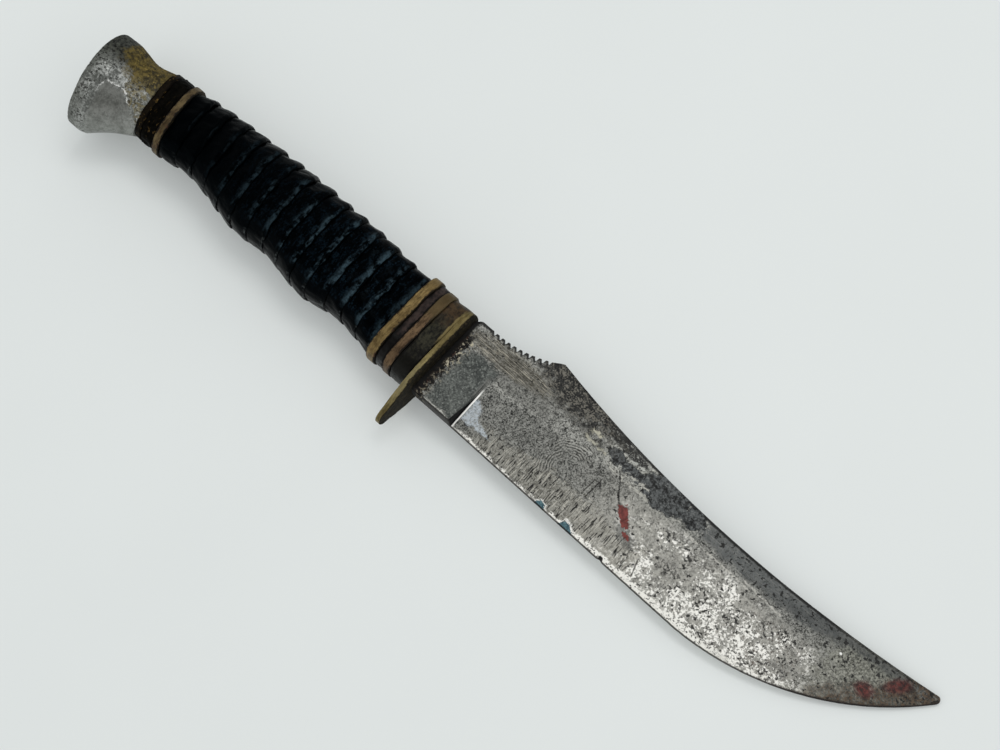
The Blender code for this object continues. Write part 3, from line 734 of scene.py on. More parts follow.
def steel_scale(skin, top, spine):
    """Charcoal scale along the spine past the hump, with pale torn borders, and dark speckle on the hump."""
    torn = skin.noise(1.9, 6.0, 0.75, shift=13.0)
    crumb = skin.noise(0.52, 3.5, 0.68, shift=4.0)
    facets = skin.noise(1.9, 3.0, 0.6, shift=14.0)
    flat = skin.step(spine, 0.5, 1.0)
    reach = None
    for x, y, across, high, turn in (
        (43.8, 7.6, 2.5, 1.7, -12), (48.6, 7.2, 4.2, 1.4, 0), (57.2, 8.0, 6.4, 3.7, 0), (65.2, 8.2, 2.9, 2.3, -10),
    ):
        lobe = (skin.blob(x, y, across, high, turn) - 1.0) * high
        reach = lobe if reach is None else reach.least(lobe)
    reach = reach + (torn - 0.5) * 3.6
    halo = skin.step(reach, 1.3, 0.2) * skin.step(crumb, 0.49, 0.56) * top * flat
    skin.lay(halo * 0.75, (198, 197, 188), 0.42, 0.3, 0.03)
    scale = skin.step(reach, 0.10, -0.10) * top
    tone = skin.shade(skin.step(facets * 0.4 + crumb * 0.6, 0.40, 0.60), (16, 17, 17), (98, 101, 101))
    skin.lay(scale, tone, 0.62, 0.2, -0.08)
    skin.lay(scale * flat * skin.step(crumb, 0.60, 0.66) * 0.55, (140, 141, 137), 0.5, 0.2, 0.05)
    ridge = skin.step(skin.blob(44.5, 10.6, 8.0, 1.3, -9) + (torn - 0.5) * 2.0, 1.1, 0.7) * top
    skin.lay(ridge * skin.step(crumb, 0.42, 0.50) * 0.95, (42, 42, 40), 0.6, 0.3, -0.03)
    hump = skin.step(skin.blob(27.5, 13.0, 14.5, 5.2, -13.0) + (torn - 0.5) * 2.6, 1.30, 0.40)
    gritty = skin.noise(0.40, 3.5, 0.68, shift=46.0)
    dark = skin.shade(skin.step(gritty * 0.55 + facets * 0.45, 0.485, 0.565), (2, 2, 2), (118, 114, 104))
    skin.lay(hump * 0.64, (36, 35, 30), 0.55)
    skin.lay(hump * 0.85, dark, 0.6, 0.2, -0.03)


def steel_flakes(skin, top):
    """Pale flakes at the border of the scale, and warm rubbed scratches over the ricasso."""
    tear = skin.noise(0.9, 6.0, 0.82, (1.4, 1, 1), -20.0, 31.0)
    for corners, paint in (
        (((35.2, 8.0), (38.6, 8.2), (39.4, 9.3), (35.6, 9.3)), (196, 192, 172)),
        (((35.0, 6.2), (41.4, 5.9), (41.8, 6.7), (35.2, 7.3)), (186, 183, 166)),
        (((46.4, 8.5), (49.8, 8.5), (52.4, 10.0), (46.6, 9.4)), (192, 193, 186)),
        (((47.3, 5.6), (54.2, 6.0), (54.0, 6.9), (47.6, 6.4)), (206, 204, 194)),
        (((43.6, 4.3), (48.4, 4.2), (48.2, 5.2), (43.9, 5.1)), (196, 194, 184)),
        (((48.8, 4.0), (55.6, 4.2), (55.2, 5.2), (48.8, 4.9)), (200, 198, 188)),
    ):
        flake = skin.step(skin.inside(*corners) + (tear - 0.5) * 4.4, 0.10, 0.34) * top
        skin.lay(flake * 0.75, paint, 0.45, 0.2, 0.04)
    warm = skin.step(skin.blob(12.0, 7.8, 13.0, 3.0, 3.0) + (tear - 0.5) * 1.2, 1.15, 0.6) * top
    skin.lay(warm * 0.5, (84, 79, 66), 0.5)
    for turn, shift in ((-3.0, 6.0), (-12.0, 7.0), (7.0, 9.0)):
        strokes = skin.noise(0.22, 2.0, 0.55, (18, 1, 1), turn, shift)
        skin.lay(warm * skin.step(strokes, 0.60, 0.66) * 0.6, (190, 184, 168), 0.4, 0.3, 0.02)
        skin.lay(warm * skin.step(strokes, 0.40, 0.34) * 0.5, (60, 55, 46), 0.5, lift=-0.02)


def steel_ricasso(skin, top):
    """Smooth greenish patch before the plunge, painted light and shade at the plunge (a painted highlight on its
    slope, a painted shadow in its slit, lightened shading above), and the pale patch beyond it.
    """
    torn = skin.noise(1.3, 6.0, 0.78, shift=17.0)
    grain = skin.noise(0.45, 3.5, 0.68, shift=18.0)
    patch = skin.inside((3.0, -10.7), (10.8, -10.7), (12.2, -9.0), (12.2, 4.0), (9.5, 5.0), (5.0, 4.6), (3.0, 2.6))
    patch = skin.step(patch + (torn - 0.5) * 6.0, -0.6, 1.0) * skin.step(skin.y, -11.1, -10.7)
    shade = skin.shade(skin.step(skin.noise(3.0, 6.0, 0.72, shift=8.0), 0.34, 0.66), (42, 47, 45), (88, 92, 88))
    skin.lay(patch * 0.94, shade, 0.36, 0.4, -0.02)
    skin.lay(patch * skin.step(grain, 0.52, 0.62) * 0.7, (34, 37, 35), 0.5)
    skin.lay(patch * skin.step(grain, 0.46, 0.36) * 0.6, (134, 138, 132), 0.4)
    rim = skin.step((skin.y + 10.85 + (torn - 0.5) * 1.4).size(), 0.20, 0.06) * skin.span(skin.x, 3.4, 10.6, 0.6) * top
    skin.lay(rim * skin.step(grain, 0.42, 0.54) * 0.8, (196, 196, 188), 0.4, 0.3)
    pale = skin.inside((12.1, -9.2), (15.4, -8.9), (15.2, -4.5), (13.4, -2.9), (12.1, -2.6))
    pale = pale.most(skin.inside((14.3, -8.9), (21.0, -8.4), (18.0, -7.0), (14.3, -5.6)))
    pale = skin.step(pale + (torn - 0.5) * 3.0, 0.0, 0.5) * skin.step(skin.x, 11.95, 12.2) * top
    skin.lay(pale * skin.between(skin.step(grain, 0.60, 0.46), 0.30, 0.92), (186, 194, 200), 0.42, 0.1)
    # Painted light: lightens the shading of the plunge's slope above the slit.
    ramp = skin.span(skin.x, 10.9, 12.0, 0.15) * skin.step(skin.y, -4.5, -2.0) * skin.step(skin.y, 3.0, 1.0) * top
    skin.lay(ramp * 0.45, (120, 120, 115), 0.5, 0.0)
    # Painted highlight: a white line on the plunge's slope.
    shine = skin.step((skin.x - 12.05).size(), 0.26, 0.14) * skin.step(skin.y, 0.4, -2.5) * top
    skin.lay(shine, (248, 247, 242), 0.4, 0.05)
    # Painted shadow: a black wedge in the slit at the plunge, widening towards the edge.
    wide = (-1.6 - skin.y) * 0.11
    slit = skin.step(skin.x - 11.85 + wide, -0.03, 0.05) * skin.step(skin.x - 11.85, 0.04, -0.04) * skin.step(skin.y, -1.6, -2.0)
    skin.lay(slit * skin.step(skin.y, -11.6, -11.4), (2, 2, 2), 0.9, 0.0)


def steel_edge(skin, edge, top):
    """Bright whetted bevel, a painted shadow as a dark line at the very edge, nicks and bits of teal paint."""
    torn = skin.noise(1.2, 6.0, 0.80, (1.4, 1, 1), shift=27.0)
    speck = skin.noise(0.5, 3.5, 0.68, shift=28.0)
    wide = 0.66 + skin.step(skin.x, 42, 56) * 0.85
    along = skin.span(skin.x, 12.4, 90, 6.0) * skin.step(skin.x, 12.0, 12.4)
    bright = skin.step(edge + (torn - 0.5) * 4.0 - wide, 0.25, -0.15) * along
    skin.lay(bright * skin.between(skin.step(speck, 0.62, 0.54), 0.45, 1.0), (250, 248, 240), 0.4, 0.1)
    skin.lay(bright * skin.step(speck, 0.555, 0.605) * 0.92, (34, 30, 25), 0.6, 0.1, -0.04)
    flecks = skin.step(torn, 0.52, 0.58) * skin.step(edge, 2.2, 0.8) * skin.span(skin.x, 80, 106, 5)
    skin.lay(flecks * 0.8, (240, 238, 228), 0.4, 0.1)
    for corners in (
        ((36.2, -12.6), (39.4, -12.6), (39.0, -11.0), (38.2, -10.8)), ((43.2, -12.8), (48.0, -12.8), (46.3, -10.5), (44.9, -10.6)),
    ):
        paint = skin.inside(*corners) + (torn - 0.5) * 2.6 + 0.22
        skin.lay(skin.step(paint, -0.40, -0.22) * skin.step(speck, 0.58, 0.50) * top * 0.9, (244, 243, 237), 0.4, 0.1)
        skin.lay(skin.step(paint, 0.0, 0.12) * top, skin.shade(skin.step(speck, 0.36, 0.66), (34, 72, 84), (92, 128, 136)), 0.5, 0.0, 0.03)
    nick = skin.step(skin.blob(55.9, -11.5, 0.55, 0.62) + (torn - 0.5) * 2.2, 1.0, 0.75) * top
    skin.lay(nick, (18, 17, 16), 0.7, 0.1, -0.1)
    dark = skin.step(edge + (torn - 0.5) * 1.2, 0.75, 0.35) * skin.step(skin.x, 92, 108)
    skin.lay(dark * 0.9, (54, 44, 37), 0.6, 0.2)
    # Painted shadow: a dark line along the very edge.
    skin.lay(skin.step(edge + (speck - 0.5) * 0.3, 0.42, 0.28) * 0.92, (30, 27, 24), 0.6, 0.2)


def steel_marks(skin, top):
    """Red paint with a hairline crack above it, a smudge, and red-brown stains at the tip."""
    torn = skin.noise(0.9, 6.0, 0.80, shift=37.0)
    for start, end in (((46.5, 5.3), (48.5, 3.3)), ((48.3, 3.1), (49.9, 1.1)), ((49.7, 1.3), (51.4, -0.3))):
        crack = skin.step(skin.line(start, end) + (torn - 0.5) * 1.6, 0.24, 0.06) * top
        skin.lay(crack * 0.85, (40, 39, 37), 0.6, lift=-0.04)
    for start, end in (((43.6, 0.5), (43.3, -2.8)), ((44.7, 1.8), (44.4, -3.6)), ((62.0, -6.2), (63.2, -9.8))):
        stroke = skin.step(skin.line(start, end) + (torn - 0.5) * 0.8, 0.20, 0.08) * top
        skin.lay(stroke * 0.8, (44, 42, 38), 0.6, lift=-0.04)
    dent = skin.step(skin.blob(107.1, 7.1, 0.36, 0.28) + (torn - 0.5) * 1.6, 1.0, 0.6) * top
    skin.lay(dent, (246, 246, 242), 0.4, 0.05)
    smudge = skin.step(skin.blob(56.4, -4.6, 4.2, 1.7, -20.0) + (torn - 0.5) * 2.6, 1.0, 0.6) * top
    skin.lay(smudge * 0.55, (66, 68, 68), 0.5)
    paint = skin.inside((51.0, -0.3), (51.9, -1.4), (54.8, -3.3), (55.9, -3.1), (56.1, -2.4), (52.5, 0.9))
    tail = skin.inside((55.0, -3.9), (56.8, -5.0), (58.1, -4.6), (57.6, -3.9))
    paint = skin.step(paint.most(tail) + (torn - 0.5) * 2.6, -0.02, 0.12) * top
    skin.lay(paint, skin.shade(skin.step(torn, 0.35, 0.65), (84, 26, 21), (134, 58, 50)), 0.55, 0.0, 0.06)
    for x, y, across, high, turn in ((115.6, 4.7, 2.6, 1.9, 15), (120.4, 9.9, 3.4, 1.8, 46)):
        stain = skin.step(skin.blob(x, y, across, high, turn) + (torn - 0.5) * 2.6, 1.15, 0.55) * top
        skin.lay(stain * 0.9, skin.shade(skin.step(torn, 0.40, 0.62), (42, 12, 10), (112, 40, 34)), 0.55, 0.0)


def steel_tip(skin, edge, spine):
    """Olive-grey tarnish and brown speckle towards the tip."""
    cloud = skin.noise(3.0, 4.0, 0.7, shift=41.0) - 0.5
    speck = skin.noise(0.5, 3.5, 0.68, shift=43.0)
    patch = skin.noise(1.6, 4.0, 0.7, shift=44.0)
    tip = skin.step(skin.x + cloud * 14, 101, 109) * skin.between(skin.step(spine + cloud * 3.0, 1.4, 3.2), 0.25, 1.0)
    skin.lay(tip * 0.6, skin.shade(skin.step(speck, 0.38, 0.62), (74, 74, 64), (186, 186, 172)), 0.48)
    brown = skin.step(edge - cloud * 12 - (skin.x - 112.0) * 0.30, 6.5, 2.0) * skin.step(skin.x, 102, 110)
    share = skin.between(skin.step(speck * 0.5 + patch * 0.5, 0.40, 0.54), 0.30, 0.98)
    skin.lay(brown * share, skin.shade(skin.step(speck, 0.38, 0.62), (18, 13, 9), (92, 75, 58)), 0.6, 0.1, -0.03)


def steel_crust(skin, top):
    """Black, pale and rusty crust where the ricasso meets the guard, and a painted shadow in the gap at the guard."""
    crumb = skin.noise(1.1, 5.0, 0.78, shift=19.0)
    bits = skin.noise(0.85, 4.0, 0.70, shift=23.0)
    low = skin.step(skin.y, 8.6, 5.5)
    crust = skin.step(skin.x + (crumb - 0.5) * 7.0, 3.0, 2.3) * low
    skin.lay(crust, skin.shade(skin.step(bits, 0.44, 0.64), (8, 7, 6), (46, 36, 26)), 0.85, 0.0, 0.08)
    high = skin.step(skin.y + (crumb - 0.5) * 6.0, -5.0, -1.0)
    pale = skin.step(bits, 0.545, 0.585) * skin.step(skin.x + (crumb - 0.5) * 2.0, 0.9, 1.5) * skin.step(skin.x, 4.4, 3.0) * low
    skin.lay(pale * skin.between(high, 0.30, 0.95), (200, 192, 168), 0.75, 0.0, 0.06)
    skin.lay(crust * skin.step(crumb, 0.58, 0.64) * 0.8, (98, 54, 32), 0.8, 0.0, 0.04)
    # Painted shadow: a black band in the gap where the blade meets the guard.
    skin.lay(skin.step(skin.x + (bits - 0.5) * 1.8, 1.3, 0.7) * 0.97, (6, 5, 5), 0.85, 0.0)


def steel_finish():
    skin = Skin("worn_blade_steel", (112, 111, 106), 0.42, 0.6)
    top = skin.step(skin.z, -0.3, 0.1)
    edge, spine = skin.reading("from_edge"), skin.reading("from_spine")
    steel_base(skin, edge, spine)
    steel_scratches(skin, top)
    steel_mottle(skin, edge)
    steel_tip(skin, edge, spine)
    steel_scale(skin, top, spine)
    steel_flakes(skin, top)
    steel_pits(skin, spine)
    steel_ricasso(skin, top)
    steel_edge(skin, edge, top)
    steel_marks(skin, top)
    steel_crust(skin, top)
    return skin.done()


def leather_finish():
    """Blue-black lacquered leather, with painted highlights along the front edges of its washers, a painted blue sheen
    on their upward faces, and a painted grey reflection on the lower outline.
    """
    skin = Skin("black_lacquered_leather", (2, 2, 3), 0.34, specular_ior_level=0.025, specular_tint=(0.55, 0.82, 1.0, 1))
    grain = skin.noise(0.45, 4.0, 0.70)
    patch = skin.noise(3.2, 3.0, 0.6, shift=5.0)
    dabs = skin.noise(1.5, 4.0, 0.70, (0.55, 1.7, 1.7), shift=11.0)
    skin.colour = skin.shade(grain, (0, 0, 0), (2, 3, 4))
    skin.rough = skin.between(skin.step(patch, 0.35, 0.65), 0.16, 0.30)
    skin.height = grain * 0.03 + skin.noise(1.6, 2.0, shift=3.0) * 0.08
    up = skin.step(skin.facing(2).size(), 0.62, 0.90)
    along = skin.span(skin.x, -66, -14, 9) * skin.between(skin.step(skin.x, -64, -22), 0.30, 1.0)
    front = skin.reading("to_front")
    # Painted highlights: light streaks along the front edges of the washers, where they face up.
    ramp = skin.step(front + (dabs - 0.5) * 0.3, 0.52, 0.93)
    crest = ramp * ramp * skin.step(front, 0.975, 0.945) * up * along
    # Painted sheen: blue-grey on the upward faces of the front washers.
    sheen = skin.step(dabs, 0.44, 0.62) * up * along
    skin.lay(sheen * skin.step(grain, 0.40, 0.62) * 0.65, (19, 33, 43), 0.3)
    streak = crest * skin.step(patch * 0.6 + dabs * 0.4, 0.45, 0.56) * skin.between(skin.step(grain, 0.34, 0.58), 0.50, 1.0)
    skin.lay(streak, (52, 68, 76), 0.3)
    skin.lay(skin.step(skin.reading("from_seam"), 0.12, 0.04), (0, 0, 0), 0.5)
    # Painted reflection: grey rims on the faces turned to the edge side, along the lower outline.
    rubbed = skin.step(front + (dabs - 0.5) * 1.1, 0.80, 1.02) * skin.step(patch * 0.6 + grain * 0.4, 0.46, 0.58)
    skin.lay(rubbed * skin.step(skin.facing(1), -0.72, -0.96) * 0.75, (84, 88, 88), 0.5)
    return skin.done()


def band_skin(name, bright, dull, grime, metal=0.6, gloss=0.15, seamed=True):
    """Worn spacer metal: rubbed bright, dulled in streaks round the handle, with grime, and painted shade along its
    seams.
    """
    skin = Skin(name, bright, 0.42, metal, specular_ior_level=gloss)
    cloud = skin.noise(2.2, 5.0, 0.7, (0.8, 1.6, 1.6))
    streak = skin.noise(0.5, 4.0, 0.7, (0.7, 5, 5), shift=4.0)
    grain = skin.noise(0.7, 5.0, 0.78, shift=8.0)
    skin.colour = skin.shade(skin.step(streak * 0.45 + cloud * 0.55, 0.40, 0.60), dull, bright)
    skin.rough = skin.between(streak, 0.52, 0.38)
    skin.height = streak * 0.05 + grain * 0.05
    skin.lay(skin.step(grain, 0.56, 0.64) * 0.6, grime, 0.6, 0.2, -0.03)
    if seamed:
        # Painted shade: dark along the seams between rings.
        seam = skin.step(skin.reading("from_seam") + (cloud - 0.5) * 1.3 + (grain - 0.5) * 0.5, 0.32, 0.15)
        skin.lay(seam * 0.94, (9, 7, 5), 0.7, 0.0)
    return skin


def brass_finish(name, bright, dull):
    skin = band_skin(name, bright, dull, (46, 36, 21))
    stain = skin.step(skin.noise(1.8, 5.0, 0.72, shift=12.0), 0.52, 0.62) * skin.step(skin.y, 2.0, -7.0)
    skin.lay(stain * 0.6, (84, 56, 41), 0.5)
    skin.lay(skin.step(skin.y, 6.0, 10.5) * 0.35, (84, 68, 40), 0.5)
    return skin.done()


def copper_finish():
    """Pinkish copper that turns brassy towards the spine."""
    skin = band_skin("tarnished_copper", (118, 96, 72), (74, 58, 42), (34, 25, 17))
    skin.lay(skin.step(skin.y + skin.noise(1.5, 3.0, shift=3.0) * 4, 3.0, 7.0) * 0.8, (84, 71, 46), 0.46)
    return skin.done()


def black_brass_finish():
    skin = band_skin("blackened_brass", (24, 19, 11), (9, 7, 5), (4, 3, 2), 0.0, 0.03)
    fleck = skin.step(skin.noise(1.1, 4.0, 0.72, (0.7, 1.6, 1.6), shift=16.0), 0.58, 0.66)
    skin.lay(fleck * 0.8, (106, 84, 44), 0.5, 0.2, 0.04)
    return skin.done()


def guard_finish():
    """Olive brass that is rubbed bright along the back of its edge, crusted dark towards its front."""
    skin = band_skin("guard_brass", (150, 136, 92), (100, 88, 55), (46, 39, 22), seamed=False)
    crumb = skin.noise(0.9, 5.0, 0.75, shift=29.0)
    ends = skin.step(skin.y, 6.5, 10.0).most(skin.step(skin.y, -15.0, -20.0) * 0.5)
    skin.lay(ends * 0.6, (64, 54, 32), 0.5)
    skin.lay(skin.span(skin.y, -4.0, 7.0, 3.0) * 0.55, (88, 76, 45), 0.45)
    skin.lay(skin.span(skin.y, -16.0, -7.0, 2.5) * 0.40, (168, 157, 118), 0.4)
    dark = skin.shade(skin.step(crumb, 0.46, 0.62), (8, 7, 5), (46, 39, 25))
    quillon = skin.step(skin.y, -11.0, -13.5)
    front = skin.step(skin.x + (crumb - 0.5) * 0.9 - quillon * 0.40, -0.80, -0.55).most(skin.step(skin.facing(0), 0.35, 0.7))
    skin.lay(front * 0.97, dark, 0.8, 0.0, 0.05)
    skin.lay(skin.step(skin.facing(0), -0.45, -0.8) * 0.8, (40, 33, 20), 0.6, 0.3)
    return skin.done()


def fibre_skin(name, pale, dark, gloss=0.25):
    """Pressed fibre: mottled, with painted shade along its seams, and rough."""
    skin = Skin(name, pale, 0.5, specular_ior_level=gloss)
    cloud = skin.noise(1.6, 5.0, 0.74, (0.7, 1.8, 1.8))
    grain = skin.noise(0.7, 5.0, 0.78, shift=6.0)
    skin.colour = skin.shade(skin.step(cloud * 0.55 + grain * 0.45, 0.40, 0.60), dark, pale)
    skin.rough = skin.between(cloud, 0.62, 0.34)
    skin.height = cloud * 0.10 + grain * 0.08
    # Painted shade: dark along the seams between rings.
    seam = skin.step(skin.reading("from_seam") + (cloud - 0.5) * 1.5 + (grain - 0.5) * 0.5, 0.46, 0.24)
    skin.lay(seam * 0.9, (6, 5, 4), 0.6)
    return skin


def dark_washer_finish():
    """Greenish washer, brown near the spine and black towards the edge side."""
    skin = fibre_skin("greenish_washer", (52, 50, 38), (12, 12, 9), 0.12)
    lumps = skin.noise(1.6, 5.0, 0.72, shift=25.0)
    skin.lay(skin.step(skin.y, 1.0, 7.0) * 0.6, skin.shade(skin.step(lumps, 0.38, 0.62), (36, 26, 16), (80, 60, 38)))
    skin.lay(skin.step(skin.y + (lumps - 0.5) * 16, -2.0, -7.0) * 0.9, (12, 11, 9), 0.32)
    sliver = skin.step(skin.x + (lumps - 0.5) * 1.0, -2.75, -2.45) * skin.span(skin.y, 0.0, 9.0, 1.5)
    skin.lay(sliver * 0.8, (132, 118, 78), 0.4, 0.5)
    return skin.done()


def brown_fibre_finish():
    skin = fibre_skin("brown_fibre", (56, 44, 40), (20, 15, 14), 0.15)
    skin.lay(skin.step(skin.y + (skin.noise(1.5, 3.0, shift=7.0) - 0.5) * 8, -3.0, -6.0) * 0.95, (7, 6, 5), 0.3)
    return skin.done()


def black_fibre_finish():
    """Blackened fibre with yellow-brown streaks worn through."""
    skin = fibre_skin("black_fibre", (11, 9, 6), (2, 2, 1), 0.02)
    streak = skin.step(skin.noise(1.2, 4.0, 0.72, (0.5, 1.6, 1.6), shift=33.0), 0.60, 0.68)
    skin.lay(streak * skin.step(skin.y, 4.5, -3.0) * 0.7, (92, 72, 40), 0.5, lift=0.04)
    return skin.done()


def aluminium_crust(skin):
    """Yellow-brown crust over the pommel's top, fading down its neck."""
    crumb = skin.noise(0.9, 4.0, 0.72, shift=51.0)
    bits = skin.noise(0.85, 3.5, 0.68, shift=53.0)
    broad = skin.noise(3.4, 3.0, 0.6, shift=57.0)
    torn = (skin.noise(2.2, 6.0, 0.75, shift=55.0) - 0.5) * 9.0
    crust = skin.inside((-101.5, 0.2), (-96.3, -1.8), (-89.0, -0.5), (-89.0, 10.0), (-103.2, 10.0), (-103.0, 2.5)) + torn
    thin = skin.inside((-98.0, -2.5), (-94.5, -6.2), (-89.0, -7.5), (-89.0, 1.0), (-96.0, 0.5)) + torn
    tone = skin.shade(skin.step(crumb * 0.5 + broad * 0.5, 0.40, 0.60), (42, 36, 15), (104, 89, 40))
    skin.lay(skin.step(crust, -0.8, 1.2) * 0.92, tone, 0.85, 0.0, 0.06)
    skin.lay(skin.step(crust, 0.0, 0.8) * skin.step(bits, 0.55, 0.62) * 0.50, (34, 29, 14), 0.8, 0.0, -0.04)
    skin.lay(skin.step(crust, 0.0, 0.8) * skin.step(bits + broad * 0.4, 0.62, 0.54) * 0.55, (146, 127, 64), 0.7, 0.0, 0.06)
    skin.lay(skin.step(thin, 0.0, 1.0) * skin.step(crumb, 0.44, 0.56) * 0.75, (116, 106, 72), 0.7, 0.1, 0.04)
    skin.lay(skin.step(thin, 0.0, 1.0) * skin.step(bits, 0.54, 0.62) * 0.8, (44, 38, 23), 0.7, 0.1, -0.03)


def aluminium_finish():
    """Pitted cast aluminium with a smooth ground facet under its arris, a painted highlight along the arris and a
    painted reflection that lightens the facet below its crease.
    """
    skin = Skin("cast_pommel_aluminium", (150, 152, 148), 0.4, 0.5, specular_ior_level=0.25)
    fine = skin.noise(0.5, 3.5, 0.68)
    pits = skin.noise(0.8, 4.0, 0.70, shift=3.0)
    cloud = skin.noise(3.0, 4.0, 0.65, shift=9.0)
    skin.colour = skin.shade(skin.step(fine * 0.5 + cloud * 0.5, 0.40, 0.60), (96, 98, 94), (166, 168, 164))
    skin.rough = skin.between(fine, 0.5, 0.36)
    skin.height = fine * 0.05
    depth = skin.inside(*POMMEL_FACET) + (cloud - 0.5) * 2.2 + (fine - 0.5) * 0.8
    facet = skin.step(depth, -0.5, 1.3)
    rough_skin = 1.0 - facet * 0.7
    rim = skin.step(skin.x, -99.5, -103.0)
    # Painted reflection: the facet is painted lighter below its crease, where it faces the floor.
    low = skin.step(skin.y - skin.x * 0.94, 81.2, 78.8)
    lines = skin.step(skin.noise(0.5, 3.0, 0.6, (1, 7, 1), 38.0, 6.0) * 0.15 + cloud * 0.55 + fine * 0.3, 0.36, 0.64)
    tone = skin.shade(low, skin.shade(lines, (94, 95, 90), (134, 135, 130)), skin.shade(lines, (108, 110, 105), (148, 150, 145)))
    skin.lay(facet * 0.92, tone, 0.36, 0.45)
    skin.lay(rim * skin.between(skin.step(cloud, 0.44, 0.58), 0.30, 0.75), (92, 95, 88), 0.5)
    rubbed = skin.span(depth, -3.4, -0.5, 0.8) * skin.step(skin.y, -13.0, -9.0) * skin.step(fine * 0.5 + cloud * 0.5, 0.46, 0.56)
    skin.lay(rubbed * 0.65, (198, 200, 196), 0.36, 0.4)
    skin.lay(skin.step(pits + cloud * 0.3 + rim * 0.03, 0.730, 0.775) * rough_skin * 0.9, (44, 44, 40), 0.65, 0.1, -0.08)
    dark = skin.step(skin.y + (cloud - 0.5) * 6 - skin.x * 0.25, 23.0, 27.5)
    skin.lay(dark * rough_skin * 0.92, skin.shade(skin.step(pits, 0.40, 0.60), (62, 64, 56), (16, 17, 13)), 0.7, 0.1)
    aluminium_crust(skin)
    # Painted highlight: a bright line along the facet's arris, brighter on its right leg.
    right = skin.step(skin.x, -101.0, -99.0)
    arris = skin.step((depth - 0.2).size() + (pits - 0.45) * 1.8, 0.28, 0.04) * skin.step(skin.y, -10.5, -7.0) * skin.step(skin.x, -92.5, -94.5)
    skin.lay(arris * skin.between(right, 0.55, 0.95), (236, 236, 232), 0.35, 0.1)
    return skin.done()


def nut_finish():
    skin = Skin("worn_nut_steel", (95, 92, 86), 0.45, 0.8)
    cloud = skin.noise(0.8, 4.0, 0.6)
    skin.colour = skin.shade(skin.step(cloud, 0.35, 0.65), (62, 54, 44), (112, 109, 102))
    skin.rough = skin.between(cloud, 0.6, 0.38)
    skin.height = cloud * 0.04
    return skin.done()


def floor_finish():
    """Pale table top with painted light: it glows a little, like a light table, so that shadows stay faint."""
    skin = Skin("pale_table", (200, 204, 203), 0.55, emission_color=(0.96, 1.0, 0.99, 1), emission_strength=0.175)
    cloud = skin.noise(60.0, 3.0, 0.5)
    skin.colour = skin.shade(cloud, (198, 202, 201), (203, 207, 206))
    skin.rough = skin.between(cloud, 0.5, 0.6)
    skin.height = skin.noise(1.2, 2.0) * 0.004
    return skin.done()


# Stage

def make_floor(material):
    half = 8.0
    mesh = bpy.data.meshes.new("table")
    mesh.from_pydata([(-half, -half, 0), (half, -half, 0), (half, half, 0), (-half, half, 0)], [], [(0, 1, 2, 3)])
    mesh.materials.append(material)
    floor = bpy.data.objects.new("table", mesh)
    bpy.context.scene.collection.objects.link(floor)
    floor.location.z = cad_box[0].z
    return floor


def make_light(name, place, target, size, power, colour):
    lamp = bpy.data.lights.new(name, "AREA")
    lamp.shape, lamp.size, lamp.size_y = "RECTANGLE", *size
    lamp.energy, lamp.color = power, colour
    light = bpy.data.objects.new(name, lamp)
    bpy.context.scene.collection.objects.link(light)
    light.location = place
    light.rotation_euler = (Vector(target) - Vector(place)).to_track_quat("-Z", "Y").to_euler()
    return light


def make_world(floorward, upward, horizon, overhead):
    """Soft room light that grows upward. What shiny surfaces mirror is paler at the horizon than overhead."""
    world = bpy.data.worlds.new("room")
    world.use_nodes = True
    tree = world.node_tree
    coordinates = tree.nodes.new("ShaderNodeTexCoord")
    apart = tree.nodes.new("ShaderNodeSeparateXYZ")
    lit, mirrored, mix = (tree.nodes.new("ShaderNodeMix") for _ in range(3))
    path = tree.nodes.new("ShaderNodeLightPath")
    tree.links.new(coordinates.outputs["Generated"], apart.inputs[0])
    for node, low, high in ((lit, floorward, upward), (mirrored, horizon, overhead)):
        node.data_type = "RGBA"
        tree.links.new(apart.outputs[2], node.inputs[0])
        node.inputs[6].default_value, node.inputs[7].default_value = low, high
    mix.data_type = "RGBA"
    tree.links.new(path.outputs["Is Glossy Ray"], mix.inputs[0])
    tree.links.new(lit.outputs[2], mix.inputs[6])
    tree.links.new(mirrored.outputs[2], mix.inputs[7])
    tree.links.new(mix.outputs[2], tree.nodes["Background"].inputs["Color"])
    bpy.context.scene.world = world


def make_camera():
    cos, sin = math.cos(CAMERA_ELEVATION), math.sin(CAMERA_ELEVATION)
    back = Vector((math.sin(CAMERA_AZIMUTH) * cos, -math.cos(CAMERA_AZIMUTH) * cos, sin))
    right = Vector((math.cos(CAMERA_AZIMUTH), math.sin(CAMERA_AZIMUTH), 0))
    turn = Matrix((right, back.cross(right), back)).transposed().to_4x4()
    data = bpy.data.cameras.new("camera")
    data.lens, data.sensor_width, data.sensor_fit = LENS_MM, SENSOR_MM, "HORIZONTAL"
    data.clip_start = 0.01
    camera = bpy.data.objects.new("camera", data)
    bpy.context.scene.collection.objects.link(camera)
    camera.matrix_world = POSE @ Matrix.Translation(CAMERA_TARGET + back * CAMERA_DISTANCE) @ turn
    bpy.context.scene.camera = camera


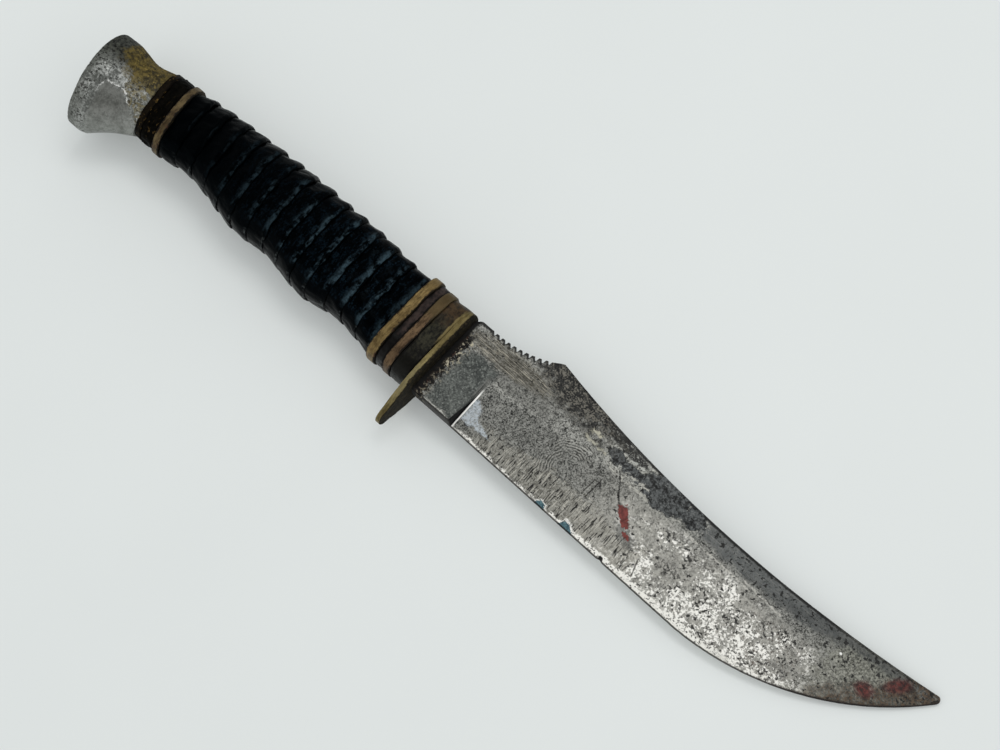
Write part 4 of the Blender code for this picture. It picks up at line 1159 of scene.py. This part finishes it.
def make_spacers(index, kinds, first, last):
    """A row of spacers, from the front. first and last say how far the row reaches to the pieces at its ends."""
    for place, (node, finish, ease, wear) in enumerate(kinds):
        front = SEAM_CLOSE + wander(index + place + 40, SPACER_WANDER) if place else first
        rear = SEAM_CLOSE - wander(index + place + 41, SPACER_WANDER) if place + 1 < len(kinds) else last
        make_spacer(index + place, node, finish, ease, wear, (rear, front))


def main():
    make_blade(steel_finish())
    leather = leather_finish()
    brass = brass_finish("tarnished_brass", (140, 119, 77), (92, 75, 46))
    rear_brass = brass_finish("brown_brass", (108, 93, 65), (64, 51, 36))
    make_worn(0, "guard", guard_finish(), 0.10)
    make_worn(1, "tang_nut", nut_finish(), 0.05)
    make_spacers(0, (
        ("front_dark_washer", dark_washer_finish(), 0.30, 0.25), ("front_copper_spacer", copper_finish(), 0.18, 0.10),
        ("front_fibre_spacer", brown_fibre_finish(), 0.30, 0.25), ("front_brass_spacer", brass, 0.22, 0.10),
    ), END_CLOSE, SEAM_CLOSE)
    make_spacers(4, (
        ("rear_brass_spacer", rear_brass, 0.20, 0.10), ("rear_fibre_washer", black_fibre_finish(), 0.40, 0.45),
        ("rear_dark_brass_spacer", black_brass_finish(), 0.20, 0.20),
    ), SEAM_CLOSE, END_CLOSE)
    rings = [Ring(n) for n in sorted(frame["nodes"]) if n.startswith("leather_washer")]
    for index in range(len(rings)):
        make_leather(index, rings, leather)
    make_pommel(aluminium_finish())
    make_floor(floor_finish())
    middle = (cad_box[0] + cad_box[1]) / 2
    make_light("key", middle + Vector((-0.03, 0.38, 0.95)), middle, (0.50, 0.40), 2.0, (1.0, 1.0, 0.99))
    make_light("fill", middle + Vector((-0.2, -0.9, 0.5)), middle, (1.2, 0.5), 0.8, (0.97, 0.99, 1.0))
    make_world((0.42, 0.43, 0.43, 1), (0.95, 0.96, 0.96, 1), (0.60, 0.61, 0.61, 1), (0.10, 0.105, 0.105, 1))
    make_camera()
    bpy.context.scene.view_settings.view_transform = "Standard"


main()
